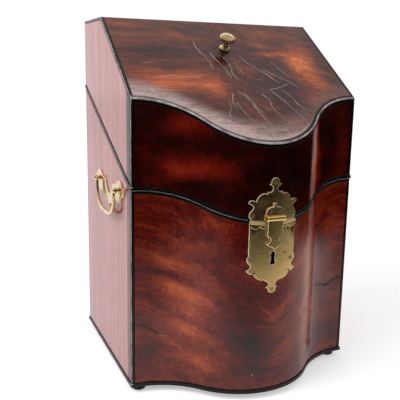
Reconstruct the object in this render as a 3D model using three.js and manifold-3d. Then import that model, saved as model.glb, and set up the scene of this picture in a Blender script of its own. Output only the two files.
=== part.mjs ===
// Knife box: a tall mahogany case with a serpentine front, a sloping hinged lid and a slotted deck.
// Millimetres, +Z up, the front towards -Y. It is drawn with y = 0 at the front corners and z = 0 under
// the carcass, then set on its feet with the origin under the middle of its bounding box.

import * as THREE from "three";
import { mergeVertices } from "three/addons/utils/BufferGeometryUtils.js";
import Module from "manifold-3d";

const wasm = await Module();
wasm.setup();

// Carcass
const width = 230;
const sideDepth = 175; // front corner to back
const bulge = 51; // middle of the front, ahead of its corners
const bulgeRadius = 75; // convex curve in the middle of the front
const cornerFlat = 1.5; // straight stretch at each front corner
const height = 337; // carcass and lid, without the feet
const jointFrontHeight = 183; // joint of base and lid at the front corners
const jointBackHeight = 266.5; // the same joint at the back
const slopeFrontHeight = 263.5; // sloping top at the front corners
const flatTopDepth = 71;
const frontThickness = 13;
const sideThickness = 10;
const backThickness = 10;
const topThickness = 9;
const bottomThickness = 8;
const beadHeight = 4; // dark bead round the foot of the carcass
const beadProud = 1;
const beadWidth = 3;

// Stringing
const stringWidth = 3;
const lidStringProud = 0.8; // the string on the lid's lower edge stands out
const veneerLip = 3; // edge of the top boards that covers the walls

// Feet
const footRadius = 7;
const footHeight = 6;
const footInset = 2.5;

// Slotted deck and what carries it
const deckRecess = 14; // deck below the joint
const deckThickness = 8;
const partitionThickness = 6;
const bearerDepth = 8;
const slotWidth = 5;
const knifeSlotLength = 26;
const forkSlotLength = 24;
const smallForkSlotLength = 22;
const spoonHoleWidth = 13;
const spoonHoleLength = 21;
const bulgeRowDepth = 17; // foremost board of the deck, behind the front's inner face at the corners

// Back hinges
const hingeLength = 38;
const hingeFromSide = 45; // middle of the hinge
const hingeLeafThickness = 1.3;
const hingeLeafDepth = 9;
const hingeKnuckleRadius = 2.4;
const hingePinRadius = 1.1;
const hingeStandoff = 2.8; // pin behind the back

// Lock and hasp
const plateThickness = 1.2;
const bandThickness = 0.9;
const haspThickness = 1.5;
const haspGap = 0.3; // hasp in front of the bands
const lidPlateHalfWidth = 23.1;
const lidPlateRise = 39.1; // above the joint
const lockPlateHalfWidth = 24.8;
const lockPlateDrop = 65.9; // below the joint
const bandHalfWidth = 23.2;
const bandDrop = 5;
const leafRise = 16.9;
const leafShoulder = 0.6; // leaf inside the ends of its barrel
const haspHalfWidth = 7.9;
const haspDrop = 24.3;
const haspPinHeight = 3.4; // above the joint
const haspKnuckleRadius = 2.35;
const haspKnuckleHalfWidth = 4.6;
const haspBarrelHalfWidth = 9.4;
const haspPinRadius = 1.1;
const keyholeDrop = 29.8; // below the joint
const keyholeRadius = 2.3;
const keyholeLength = 8.7;
const caseWidth = 34;
const caseTopDrop = 7;
const caseHeight = 38;
const caseDepth = 7.5;
const caseWall = 1;
const drillPinRadius = 1.1;
const stapleWidth = 3;
const stapleDrop = 11; // staple's middle, below the joint
const stapleBar = 2; // bars above and below the bolt
const stapleTip = 1.2;
const boltHeight = 3.6;
const boltThickness = 2;
const boltSetback = 0.8; // bolt behind the case's front edge
const boltTailWidth = 6;
const boltTailLength = 12;
const stapleSwing = 3.2; // the staple dips this far as the hasp swings out

// Side handles
const handleHeight = 177;
const handleFromFront = 73;
const postSpacing = 75;
const postRadius = 1.9;
const postBallRadius = 2.8;
const postLength = 5; // side to the bail's pin
const collarThickness = 1;
const bailRadius = 1.5;
const bailDrop = 27.5;
const bailPinRadius = 1.1;
const handlePlateThickness = 1.2;
const handlePlateOverhang = 15; // past each post
const handlePlateDrop = 21; // below the bail's pins

// Knob
const knobRadius = 8;
const knobProud = 16.8;
const knobFromFront = 63;
const knobTailRadius = 2.2;
const knobTailLength = 7;

// Clearances
const kerf = 0.4; // between base and lid
const fit = 0.2; // between fixed pieces
const running = 0.3; // between moving pieces
const seat = 0.3; // under pieces in turned groups

// Steps of the curves
const convexSteps = 14;
const hollowSteps = 12;
const roundSteps = 16; // rods and pins
const knobSteps = 24;
const bailSteps = 24; // along the bail
const bailSides = 12;

const halfWidth = width / 2;
const innerHalf = halfWidth - sideThickness;
const innerBack = sideDepth - backThickness;
const hingeX = halfWidth - hingeFromSide;
const cornerX = halfWidth - cornerFlat;
const radiusSum = (cornerX ** 2 + bulge ** 2) / (2 * bulge);
const hollowRadius = radiusSum - bulgeRadius;
const turn = Math.asin(cornerX / radiusSum); // angle where the convex and the hollow curve meet
const slopeDepth = sideDepth - flatTopDepth;
const topRise = (height - slopeFrontHeight) / slopeDepth;
const topAngle = Math.atan(topRise);
const jointRise = (jointBackHeight - jointFrontHeight) / sideDepth;
const jointAngle = Math.atan(jointRise);
const beyond = 30; // how far cutters run past the case
const jointAt = (y) => jointFrontHeight + jointRise * y;
const slopeAt = (y) => slopeFrontHeight + topRise * y;
const jointMiddle = jointAt(-bulge); // joint at the middle of the front

// Finishes
const mahogany = { color: 0x5c2014, roughness: 0.32, metalness: 0 };
const ebonised = { color: 0x15100f, roughness: 0.3, metalness: 0 };
const brass = { color: 0xc8a05a, roughness: 0.3, metalness: 1 };
const steel = { color: 0x6f6f72, roughness: 0.4, metalness: 1 };
const oak = { color: 0x8a6238, roughness: 0.65, metalness: 0 };

function solidFrom(geometry) {
  const bare = geometry.index ? geometry.toNonIndexed() : geometry.clone();
  bare.deleteAttribute("normal");
  bare.deleteAttribute("uv");
  const merged = mergeVertices(bare, 1e-4);
  const mesh = new wasm.Mesh({
    numProp: 3,
    vertProperties: new Float32Array(merged.attributes.position.array),
    triVerts: new Uint32Array(merged.index.array),
  });
  return new wasm.Manifold(mesh);
}

function geometryFrom(solid) {
  const mesh = solid.getMesh();
  const geometry = new THREE.BufferGeometry();
  geometry.setAttribute("position", new THREE.BufferAttribute(mesh.vertProperties, mesh.numProp));
  geometry.setIndex(new THREE.BufferAttribute(mesh.triVerts, 1));
  geometry.computeVertexNormals();
  return geometry;
}

function piece(name, solid, finish) {
  const mesh = new THREE.Mesh(geometryFrom(solid), new THREE.MeshStandardMaterial(finish));
  mesh.name = name;
  return mesh;
}

function union(solids) {
  return solids.reduce((joined, next) => joined.add(next));
}

// An outline drawn on two axes and pushed along the third.
function extrude(points, low, high, basis) {
  const shape = new THREE.Shape(points.map(([u, v]) => new THREE.Vector2(u, v)));
  const geometry = new THREE.ExtrudeGeometry(shape, { depth: high - low, bevelEnabled: false });
  geometry.translate(0, 0, low);
  geometry.applyMatrix4(basis);
  return solidFrom(geometry);
}

const axisX = new THREE.Vector3(1, 0, 0);
const axisY = new THREE.Vector3(0, 1, 0);
const axisZ = new THREE.Vector3(0, 0, 1);
const planBasis = new THREE.Matrix4();
const sideBasis = new THREE.Matrix4().makeBasis(axisY, axisZ, axisX);
const frontBasis = new THREE.Matrix4().makeBasis(axisX, axisZ, axisY.clone().negate());
const upright = (points, z0, z1) => extrude(points, z0, z1, planBasis); // points are x, y
const across = (points, x0, x1) => extrude(points, x0, x1, sideBasis); // points are y, z
const through = (points, y0, y1) => extrude(points, -y1, -y0, frontBasis); // points are x, z

function rectangle(u0, u1, v0, v1) {
  return [
    [u0, v0],
    [u1, v0],
    [u1, v1],
    [u0, v1],
  ];
}

const block = (x0, x1, y0, y1, z0, z1) => upright(rectangle(x0, x1, y0, y1), z0, z1);

function arc(u, v, radius, fromDegrees, toDegrees, steps) {
  const points = [];
  for (let i = 0; i <= steps; i++) {
    const a = THREE.MathUtils.degToRad(fromDegrees + ((toDegrees - fromDegrees) * i) / steps);
    points.push([u + radius * Math.cos(a), v + radius * Math.sin(a)]);
  }
  return points;
}

const disc = (u, v, radius) => arc(u, v, radius, 0, 360 - 360 / roundSteps, roundSteps - 1);
const ball = (radius) => solidFrom(new THREE.SphereGeometry(radius, roundSteps, roundSteps / 2));
const turned = (profile, steps) =>
  solidFrom(
    new THREE.LatheGeometry(
      profile.map(([r, z]) => new THREE.Vector2(r, z)),
      steps,
    ).rotateX(Math.PI / 2),
  );

// A symmetric outline from its right half, which is listed upwards.
function mirrored(rightHalf) {
  const left = rightHalf
    .filter(([u]) => u > 1e-6)
    .reverse()
    .map(([u, v]) => [-u, v]);
  return rightHalf.concat(left);
}

// The front's plan, left to right, moved inwards by inset. It is cut at reach each side of the middle.
function serpentine(inset, reach) {
  const convex = bulgeRadius - inset;
  const hollow = hollowRadius + inset;
  const right = [];
  for (let i = 0; i <= convexSteps; i++) {
    const a = (turn * i) / convexSteps;
    right.push([convex * Math.sin(a), bulgeRadius - bulge - convex * Math.cos(a)]);
  }
  for (let i = 1; i <= hollowSteps; i++) {
    const a = turn * (1 - i / hollowSteps);
    right.push([cornerX - hollow * Math.sin(a), hollow * Math.cos(a) - hollowRadius]);
  }
  right.push([halfWidth + beyond, inset]);
  const past = right.findIndex(([x]) => x >= reach);
  const [x0, y0] = right[past - 1];
  const [x1, y1] = right[past];
  const cut = right.slice(0, past).concat([[reach, y0 + ((y1 - y0) * (reach - x0)) / (x1 - x0)]]);
  const left = cut
    .slice(1)
    .reverse()
    .map(([x, y]) => [-x, y]);
  return left.concat(cut);
}

function frontBand(outer, inner, reach) {
  return serpentine(outer, reach).concat(serpentine(inner, reach).reverse());
}

function plan(frontInset, sideInset, backInset) {
  const reach = halfWidth - sideInset;
  const back = sideDepth - backInset;
  return serpentine(frontInset, reach).concat([
    [reach, back],
    [-reach, back],
  ]);
}

// Everything between two planes that lie parallel to the joint, given as drops below it.
function jointSlab(upperDrop, lowerDrop) {
  const y0 = -bulge - beyond;
  const y1 = sideDepth + beyond;
  const upper = upperDrop / Math.cos(jointAngle);
  const lower = lowerDrop / Math.cos(jointAngle);
  const points = [
    [y0, jointAt(y0) - lower],
    [y1, jointAt(y1) - lower],
    [y1, jointAt(y1) - upper],
    [y0, jointAt(y0) - upper],
  ];
  return across(points, -halfWidth - beyond, halfWidth + beyond);
}

// Everything in the base from a height up to a drop below the joint.
function baseSpace(low, drop) {
  const y0 = -bulge - beyond;
  const y1 = sideDepth + beyond;
  const lower = (drop + kerf / 2) / Math.cos(jointAngle);
  const points = [
    [y0, low],
    [y1, low],
    [y1, jointAt(y1) - lower],
    [y0, jointAt(y0) - lower],
  ];
  return across(points, -halfWidth - beyond, halfWidth + beyond);
}

// Everything in the lid from a rise above the joint up to a depth under the slope and the flat top.
function lidSpace(rise, depth) {
  const y0 = -bulge - beyond / 2;
  const y1 = sideDepth + beyond / 2;
  const lift = (rise + kerf / 2) / Math.cos(jointAngle);
  const ridge = slopeDepth + (depth * (1 / Math.cos(topAngle) - 1)) / topRise;
  const points = [
    [y0, jointAt(y0) + lift],
    [y1, jointAt(y1) + lift],
    [y1, height - depth],
    [ridge, height - depth],
    [y0, slopeAt(y0) - depth / Math.cos(topAngle)],
  ];
  return across(points, -halfWidth - beyond, halfWidth + beyond);
}

const rodX = (y, z, radius, x0, x1) => across(disc(y, z, radius), x0, x1);
const rodY = (x, z, radius, y0, y1) => through(disc(x, z, radius), y0, y1);

// Hinge axis of the lid, on the plane of the joint behind the back.
const lidPinY = sideDepth + hingeStandoff;
const lidPinZ = jointAt(lidPinY);

// Layers of the lock, counted forwards from the wood.
const plateBack = fit;
const plateFace = plateBack + plateThickness;
const bandBack = plateFace + fit;
const bandFace = bandBack + bandThickness;
const haspBack = bandFace + haspGap;
const haspFace = haspBack + haspThickness;
const haspPinY = -(bulge + plateFace + running + haspKnuckleRadius);
const haspPinZ = jointMiddle + haspPinHeight;
const caseEdge = -bulge + bulgeRadius - Math.sqrt(bulgeRadius ** 2 - (caseWidth / 2) ** 2);
const caseFront = caseEdge + fit;
const caseBack = caseFront + caseDepth;
const caseTop = jointMiddle - caseTopDrop;
const caseBottom = caseTop - caseHeight;
const stapleZ = jointMiddle - stapleDrop;
const keyholeZ = jointMiddle - keyholeDrop;
const slotHalf = stapleWidth / 2 + running;
const boltFront = caseFront + boltSetback;
const boltBack = boltFront + boltThickness;
const stapleHalf = boltHeight / 2 + running + stapleBar;
const stapleBottom = stapleZ - stapleHalf;
const stapleBack = boltBack + running + stapleTip;

// The way that the staple takes through plate, case and front as the hasp or the lid opens.
function stapleWay() {
  const low = stapleBottom - stapleSwing;
  return block(-slotHalf, slotHalf, -bulge - beyond, stapleBack + running, low, jointMiddle + beyond);
}

// A sheet that follows the curve of the front, between two distances ahead of the wood.
function curvedSheet(outline, back, face) {
  const ahead = through(outline, -bulge - beyond, 0);
  const layer = upright(frontBand(-face, -back, halfWidth / 2), 0, height);
  return ahead.intersect(layer);
}

function cornerColumns() {
  const room = stringWidth + fit;
  const left = block(-halfWidth - beyond, -halfWidth + room, -beyond, room, 0, height);
  return union([left, left.mirror([1, 0, 0])]);
}

// A strip of the joint's height that runs round the front and both sides.
function edgeStrip(outer, inner) {
  const front = upright(frontBand(outer, inner, halfWidth - outer), 0, height);
  const left = block(-halfWidth + outer, -halfWidth + inner, inner / 2, sideDepth, 0, height);
  return union([front, left, left.mirror([1, 0, 0])]);
}

function baseCarcass() {
  const space = baseSpace(0, 0);
  const stringRoom = edgeStrip(-beyond, stringWidth + fit).intersect(jointSlab(-beyond, stringWidth + fit));
  const pocket = block(
    -caseWidth / 2 - fit,
    caseWidth / 2 + fit,
    -bulge - beyond,
    caseBack + fit,
    caseBottom - fit,
    caseTop + fit,
  );
  const front = upright(frontBand(0, frontThickness, halfWidth), 0, height)
    .intersect(space)
    .subtract(stringRoom)
    .subtract(cornerColumns())
    .subtract(pocket)
    .subtract(stapleWay());
  const leftSide = block(-halfWidth, -innerHalf, frontThickness, sideDepth, 0, height)
    .intersect(space)
    .subtract(stringRoom);
  const back = block(-innerHalf, innerHalf, innerBack, sideDepth, 0, height)
    .intersect(space)
    .subtract(hingeMortises());
  const bottom = union([
    upright(plan(beadWidth + fit, beadWidth + fit, beadWidth + fit), -beadHeight, 0),
    upright(plan(frontThickness + fit, sideThickness, backThickness), 0, bottomThickness - beadHeight),
  ]);
  return [
    piece("base_front", front, mahogany),
    piece("base_side_left", leftSide, mahogany),
    piece("base_side_right", leftSide.mirror([1, 0, 0]), mahogany),
    piece("base_back", back, mahogany),
    piece("base_bottom", bottom, oak),
  ];
}

function baseStringing() {
  const outline = plan(-beadProud, -beadProud, -beadProud);
  const hollow = plan(beadWidth, beadWidth, beadWidth);
  const bead = upright(outline, -beadHeight, -fit).subtract(upright(hollow, -beadHeight - 1, 1));
  const leftJoint = edgeStrip(0, stringWidth)
    .intersect(jointSlab(kerf / 2, stringWidth))
    .intersect(block(-halfWidth, 0, -bulge - beyond, sideDepth, 0, height))
    .subtract(stapleWay());
  const corners = upright(frontBand(0, stringWidth, halfWidth), 0, height).intersect(
    baseSpace(0, stringWidth + fit),
  );
  const leftCorner = corners.intersect(
    block(-halfWidth - beyond, -halfWidth + stringWidth, -beyond, stringWidth, 0, height),
  );
  return [
    piece("base_bead", bead, ebonised),
    piece("base_joint_string_left", leftJoint, ebonised),
    piece("base_joint_string_right", leftJoint.mirror([1, 0, 0]), ebonised),
    piece("base_corner_string_left", leftCorner, ebonised),
    piece("base_corner_string_right", leftCorner.mirror([1, 0, 0]), ebonised),
  ];
}

function feet() {
  const profile = [
    [0, 0],
    [0.83, 0],
    [0.96, 0.25],
    [1, 0.5],
    [0.93, 0.75],
    [0.72, 1],
    [0, 1],
  ].map(([r, z]) => [r * footRadius, z * footHeight]);
  const solid = turned(profile, roundSteps);
  const x = halfWidth - footInset - footRadius;
  const places = {
    foot_front_left: [-x, footInset + footRadius],
    foot_front_right: [x, footInset + footRadius],
    foot_back_left: [-x, sideDepth - footInset - footRadius],
    foot_back_right: [x, sideDepth - footInset - footRadius],
  };
  return Object.entries(places).map(([name, [footX, footY]]) => {
    const foot = piece(name, solid, ebonised);
    foot.position.set(footX, footY, -beadHeight - footHeight);
    return foot;
  });
}

// The rows of the deck, from the back to the front, with the wood left behind each row of slots.
// The foremost board fills the bulge.
const deckRows = [
  { name: "deck_rear", behind: 10, length: knifeSlotLength, width: slotWidth, count: 7, pitch: 28 },
  { name: "deck_middle", behind: 10, length: forkSlotLength, width: slotWidth, count: 7, pitch: 28 },
  { name: "deck_front", behind: 10, length: smallForkSlotLength, width: slotWidth, count: 6, pitch: 31 },
  { name: "deck_bulge", behind: 6, length: spoonHoleLength, width: spoonHoleWidth, count: 4, pitch: 28 },
];
const deckRowDepth = (innerBack - frontThickness - bulgeRowDepth) / (deckRows.length - 1);
const rowBack = (index) => innerBack - index * deckRowDepth;

function slots(row, index) {
  const y1 = rowBack(index) - row.behind;
  const cutters = [];
  for (let i = 0; i < row.count; i++) {
    const x = (i - (row.count - 1) / 2) * row.pitch;
    cutters.push(block(x - row.width / 2, x + row.width / 2, y1 - row.length, y1, 0, height));
  }
  return union(cutters);
}

function deck() {
  const level = jointSlab(deckRecess, deckRecess + deckThickness);
  const inside = upright(plan(frontThickness + fit, sideThickness + fit, backThickness + fit), 0, height);
  const board = inside.intersect(level);
  const boards = deckRows.map((row, index) => {
    const front = index === deckRows.length - 1 ? -bulge - beyond : rowBack(index + 1) + fit / 2;
    const stretch = block(-halfWidth, halfWidth, front, rowBack(index) - fit / 2, 0, height);
    return piece(row.name, board.intersect(stretch).subtract(slots(row, index)), mahogany);
  });
  const under = baseSpace(bottomThickness - beadHeight, deckRecess + deckThickness + fit);
  const partitions = deckRows.slice(1).map((row, index) => {
    const middle = rowBack(index + 1);
    const half = partitionThickness / 2;
    const wall = block(-innerHalf, innerHalf, middle - half, middle + half, 0, height).intersect(under);
    return piece("partition_" + (index + 1), wall, oak);
  });
  const bearer = block(-innerHalf, innerHalf, innerBack - bearerDepth, innerBack, 0, height)
    .intersect(under)
    .intersect(jointSlab(deckRecess, deckRecess + 2 * deckThickness + fit));
  return [...boards, ...partitions, piece("deck_bearer", bearer, oak)];
}

// One leaf of a back hinge. Its knuckles are the outer two or the middle one.
const knuckleCuts = [0, 0.3, 0.7, 1].map((share) => (share - 0.5) * hingeLength);
function hingeLeaf(upperDrop, lowerDrop, knuckles, clearOf) {
  const flat = jointSlab(upperDrop, lowerDrop).intersect(
    block(-hingeLength / 2, hingeLength / 2, sideDepth - hingeLeafDepth, lidPinY, 0, height),
  );
  const rods = knuckles.map(([x0, x1]) => rodX(lidPinY, lidPinZ, hingeKnuckleRadius, x0, x1));
  const gaps = clearOf.map(([x0, x1]) =>
    rodX(lidPinY, lidPinZ, hingeKnuckleRadius + running, x0 - running, x1 + running),
  );
  const bore = rodX(lidPinY, lidPinZ, hingePinRadius + fit / 2, -hingeLength, hingeLength);
  return union([flat.subtract(union(gaps)), ...rods]).subtract(bore);
}

function hingeMortises() {
  const room = jointSlab(-hingeLeafThickness - 2 * fit, hingeLeafThickness + 2 * fit).intersect(
    block(
      -hingeLength / 2 - fit,
      hingeLength / 2 + fit,
      sideDepth - hingeLeafDepth - fit,
      sideDepth + beyond,
      0,
      height,
    ),
  );
  return union([room.translate([-hingeX, 0, 0]), room.translate([hingeX, 0, 0])]);
}

function hinges() {
  const [a, b, c, d] = knuckleCuts;
  const outer = [
    [a, b],
    [c, d],
  ];
  const middle = [[b + running, c - running]];
  const lower = hingeLeaf(fit, fit + hingeLeafThickness, outer, middle);
  const upper = hingeLeaf(-fit - hingeLeafThickness, -fit, middle, outer);
  const pin = rodX(lidPinY, lidPinZ, hingePinRadius, a, d);
  const made = { base: [], lid: [] };
  for (const [side, x] of [
    ["left", -hingeX],
    ["right", hingeX],
  ]) {
    const baseLeaf = piece("hinge_base_leaf_" + side, lower, brass);
    const lidLeaf = piece("hinge_lid_leaf_" + side, upper, brass);
    const hingePin = piece("hinge_pin_" + side, pin, brass);
    for (const mesh of [baseLeaf, lidLeaf, hingePin]) mesh.position.x = x;
    made.base.push(baseLeaf, hingePin);
    made.lid.push(lidLeaf);
  }
  return made;
}

// An outline drawn at any size, stretched to the half width and the reach up or down that it is to have.
function fitted(outline, halfWide, reach) {
  const wide = Math.max(...outline.map(([x]) => x));
  const tall = Math.max(...outline.map(([, z]) => Math.abs(z)));
  return outline.map(([x, z]) => [(x * halfWide) / wide, (z * reach) / tall]);
}

// Outlines of the brass, x from the middle and z from the joint at the middle of the front.
function lidPlateOutline() {
  const outline = mirrored([
    [21.6, -4],
    ...arc(20, 5.6, 3, -60, 125, 9),
    [18.5, 13.2],
    ...arc(20.3, 16.6, 2.8, -75, 150, 9),
    [17, 18.1],
    ...arc(9.4, 17.9, 7.7, 5, 105, 8),
    [6.9, 24.4],
    [6.4, 26.8],
    ...arc(5.6, 30.3, 3.7, -95, -250, 8),
    [6.2, 34.3],
    ...arc(0, 35.5, 3.6, -10, 90, 7),
  ]);
  return fitted(outline, lidPlateHalfWidth, lidPlateRise);
}

function lockPlateOutline() {
  const outline = mirrored([
    ...arc(0, -62.2, 3.7, -90, 25, 7),
    [7.2, -60.4],
    ...arc(7.3, -56.6, 3.4, -120, -265, 7),
    [8.2, -52.6],
    ...arc(9.6, -45.4, 7.6, -80, -12, 6),
    [22.6, -46.6],
    [24.8, -43.9],
    [20.5, -40.6],
    ...arc(19.6, -35, 4.4, -60, 45, 7),
    [23, -31],
    [22.4, 4],
  ]);
  return fitted(outline, lockPlateHalfWidth, lockPlateDrop);
}

function leafOutline() {
  const outline = mirrored([
    [8.8, 3.4],
    ...arc(3.8, 8.4, 5, 0, 100, 7),
    [1.2, 13.3],
    ...arc(0, 15, 1.9, -50, 90, 6),
  ]);
  return fitted(outline, haspBarrelHalfWidth - leafShoulder, leafRise);
}

function haspOutline() {
  const outline = mirrored([
    [0, -24.3],
    [2.4, -23.7],
    [3.6, -21.9],
    ...arc(6, -19.6, 1.9, -100, 60, 6),
    ...arc(6.6, -14.9, 2.9, 250, 110, 6),
    [7.6, -9.5],
    [7.6, 3.4],
  ]);
  return fitted(outline, haspHalfWidth, haspDrop);
}

function bandOutline(inner, outer) {
  const span = outer - inner;
  return [
    [inner, -bandDrop],
    ...arc(inner + span * 0.2, -bandDrop, span * 0.14, 180, 360, 5),
    ...arc(inner + span * 0.58, -bandDrop, span * 0.17, 180, 360, 5),
    [outer, -bandDrop],
    [outer, bandDrop],
    [inner, bandDrop],
  ];
}

function keyhole() {
  const half = keyholeRadius;
  const outline = mirrored([
    [0, -keyholeLength - half * 0.26],
    [half * 0.7, -keyholeLength - half * 0.13],
    [half * 1.15, -keyholeLength + half * 0.3],
    [half * 0.68, -half * 0.7],
    ...arc(0, 0, half, -40, 90, 7),
  ]);
  return through(outline, -bulge - beyond, caseBack).translate([0, 0, keyholeZ]);
}

const atJoint = (outline) => outline.map(([x, z]) => [x, z + jointMiddle]);

function lockCase() {
  const half = caseWidth / 2;
  const shell = block(-half, half, caseFront, caseBack, caseBottom, caseTop);
  const hollow = block(
    -half + caseWall,
    half - caseWall,
    caseFront - 1,
    caseBack - caseWall,
    caseBottom + caseWall,
    caseTop - caseWall,
  );
  return shell.subtract(hollow).subtract(stapleWay());
}

// The bolt lies beside the staple at rest, and its bar slides through the staple's eye.
function bolt() {
  const barEnd = caseWidth / 2 - caseWall - running;
  const barStart = stapleWidth / 2 + 3 * running;
  const tailEnd = barEnd - running;
  const bottom = stapleZ - boltHeight / 2;
  const outline = [
    [barStart, bottom],
    [tailEnd - boltTailWidth, bottom],
    [tailEnd - boltTailWidth, bottom - boltTailLength],
    [tailEnd - boltTailWidth / 2, bottom - boltTailLength + 3],
    [tailEnd, bottom - boltTailLength],
    [tailEnd, bottom],
    [barEnd, bottom],
    [barEnd, bottom + boltHeight],
    [barStart, bottom + boltHeight],
  ];
  return through(outline, boltFront, boltBack);
}

function lock() {
  const plate = curvedSheet(atJoint(lockPlateOutline()), plateBack, plateFace)
    .intersect(baseSpace(0, 0))
    .subtract(keyhole())
    .subtract(stapleWay());
  const band = curvedSheet(
    atJoint(bandOutline(haspHalfWidth + running, bandHalfWidth)),
    bandBack,
    bandFace,
  ).intersect(baseSpace(0, 0));
  const pin = rodY(0, keyholeZ, drillPinRadius, caseFront - running, caseBack - caseWall - fit);
  return [
    piece("lock_plate", plate, brass),
    piece("lock_band_right", band, brass),
    piece("lock_band_left", band.mirror([1, 0, 0]), brass),
    piece("lock_case", lockCase(), steel),
    piece("lock_drill_pin", pin, steel),
  ];
}

function lidBrass() {
  const plate = curvedSheet(atJoint(lidPlateOutline()), plateBack, plateFace).intersect(lidSpace(0, 0));
  const [k, b] = [haspKnuckleHalfWidth, haspBarrelHalfWidth];
  const knuckle = rodX(haspPinY, haspPinZ, haspKnuckleRadius, k + running, b);
  const bore = rodX(haspPinY, haspPinZ, haspPinRadius + fit / 2, -b - 1, b + 1);
  const room = rodX(haspPinY, haspPinZ, haspKnuckleRadius + running, -k - running, k + running);
  const leaf = curvedSheet(atJoint(leafOutline()), bandBack, bandBack + plateThickness)
    .subtract(room)
    .add(knuckle)
    .add(knuckle.mirror([1, 0, 0]))
    .subtract(bore);
  return [
    piece("lid_plate", plate, brass),
    piece("hasp_leaf", leaf, brass),
    piece("hasp_pin", rodX(haspPinY, haspPinZ, haspPinRadius, -b, b), brass),
  ];
}

function hasp() {
  const [k, b] = [haspKnuckleHalfWidth, haspBarrelHalfWidth];
  const knuckle = rodX(haspPinY, haspPinZ, haspKnuckleRadius, -k, k);
  const bore = rodX(haspPinY, haspPinZ, haspPinRadius + fit / 2, -b, b);
  const room = rodX(haspPinY, haspPinZ, haspKnuckleRadius + running, k, b + 1);
  const above = block(-b, b, -bulge - beyond, 0, haspPinZ, height);
  const sheet = curvedSheet(atJoint(haspOutline()), haspBack, haspFace)
    .subtract(above)
    .subtract(room)
    .subtract(room.mirror([1, 0, 0]));
  const stapleFront = -bulge - haspBack;
  const half = stapleWidth / 2;
  const tongue = block(-half, half, stapleFront, stapleBack, stapleZ - stapleHalf, stapleZ + stapleHalf);
  const eye = across(
    rectangle(
      boltFront - running,
      boltBack + running,
      stapleZ - boltHeight / 2 - running,
      stapleZ + boltHeight / 2 + running,
    ),
    -stapleWidth,
    stapleWidth,
  );
  const staple = tongue.subtract(eye);
  return [
    piece("hasp", sheet.add(knuckle).subtract(bore), brass),
    piece("hasp_staple", staple.subtract(sheet.translate([0, fit, 0])), brass),
  ];
}

function lidCarcass() {
  const space = lidSpace(0, 0);
  const wallSpace = lidSpace(0, veneerLip + fit);
  const stringRoom = edgeStrip(-beyond, stringWidth + fit).intersect(jointSlab(-stringWidth - fit, beyond));
  const front = upright(frontBand(0, frontThickness, halfWidth), 0, height)
    .intersect(wallSpace)
    .subtract(stringRoom)
    .subtract(cornerColumns());
  const leftSide = block(-halfWidth, -innerHalf, frontThickness, sideDepth, 0, height)
    .intersect(wallSpace)
    .subtract(stringRoom);
  const back = block(-innerHalf, innerHalf, innerBack, sideDepth, 0, height)
    .intersect(wallSpace)
    .subtract(hingeMortises());
  const overWalls = upright(plan(-beyond, -beyond, -beyond), 0, height)
    .subtract(upright(plan(frontThickness + fit, sideThickness + fit, backThickness + fit), -1, height + 1))
    .intersect(lidSpace(-beyond, veneerLip));
  const boards = upright(plan(stringWidth + fit, stringWidth + fit, 0), 0, height + 1)
    .intersect(space)
    .subtract(lidSpace(-beyond, topThickness))
    .subtract(overWalls);
  const behind = block(-halfWidth, halfWidth, slopeDepth + fit / 2, sideDepth + beyond, 0, height + 1);
  const ahead = block(-halfWidth, halfWidth, -bulge - beyond, slopeDepth - fit / 2, 0, height + 1);
  return [
    piece("lid_front", front, mahogany),
    piece("lid_side_left", leftSide, mahogany),
    piece("lid_side_right", leftSide.mirror([1, 0, 0]), mahogany),
    piece("lid_back", back, mahogany),
    piece("lid_top", boards.intersect(behind), mahogany),
    piece("lid_slope", boards.intersect(ahead).subtract(knobSocket()), mahogany),
  ];
}

function lidStringing() {
  const behindPlate = lidPlateHalfWidth + running;
  const plateRoom = curvedSheet(rectangle(-behindPlate, behindPlate, 0, height), 0, lidStringProud + fit);
  const joint = edgeStrip(-lidStringProud, stringWidth)
    .intersect(jointSlab(-stringWidth, -kerf / 2))
    .subtract(plateRoom);
  const rim = lidSpace(0, 0).subtract(lidSpace(-beyond, stringWidth));
  const slopeFront = upright(frontBand(0, stringWidth, halfWidth), 0, height).intersect(rim);
  const leftEdge = block(-halfWidth, -halfWidth + stringWidth, stringWidth + fit, sideDepth, 0, height);
  const leftRim = leftEdge.intersect(rim);
  const leftCorner = upright(frontBand(0, stringWidth, halfWidth), 0, height)
    .intersect(block(-halfWidth - beyond, -halfWidth + stringWidth, -beyond, stringWidth, 0, height))
    .intersect(lidSpace(stringWidth + fit, stringWidth + fit));
  return [
    piece("lid_joint_string", joint, ebonised),
    piece("lid_slope_string", slopeFront, ebonised),
    piece("lid_top_string_left", leftRim, ebonised),
    piece("lid_top_string_right", leftRim.mirror([1, 0, 0]), ebonised),
    piece("lid_corner_string_left", leftCorner, ebonised),
    piece("lid_corner_string_right", leftCorner.mirror([1, 0, 0]), ebonised),
  ];
}

// The knob stands square to the slope, its tail let into the board.
function knobSocket() {
  const socket = rodY(0, 0, knobTailRadius + fit, -1, 1);
  const square = socket.rotate([90, 0, 0]).scale([1, 1, knobTailLength + seat]);
  const leaning = square.rotate([THREE.MathUtils.radToDeg(topAngle), 0, 0]);
  return leaning.translate([0, knobFromFront, slopeAt(knobFromFront)]);
}

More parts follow.
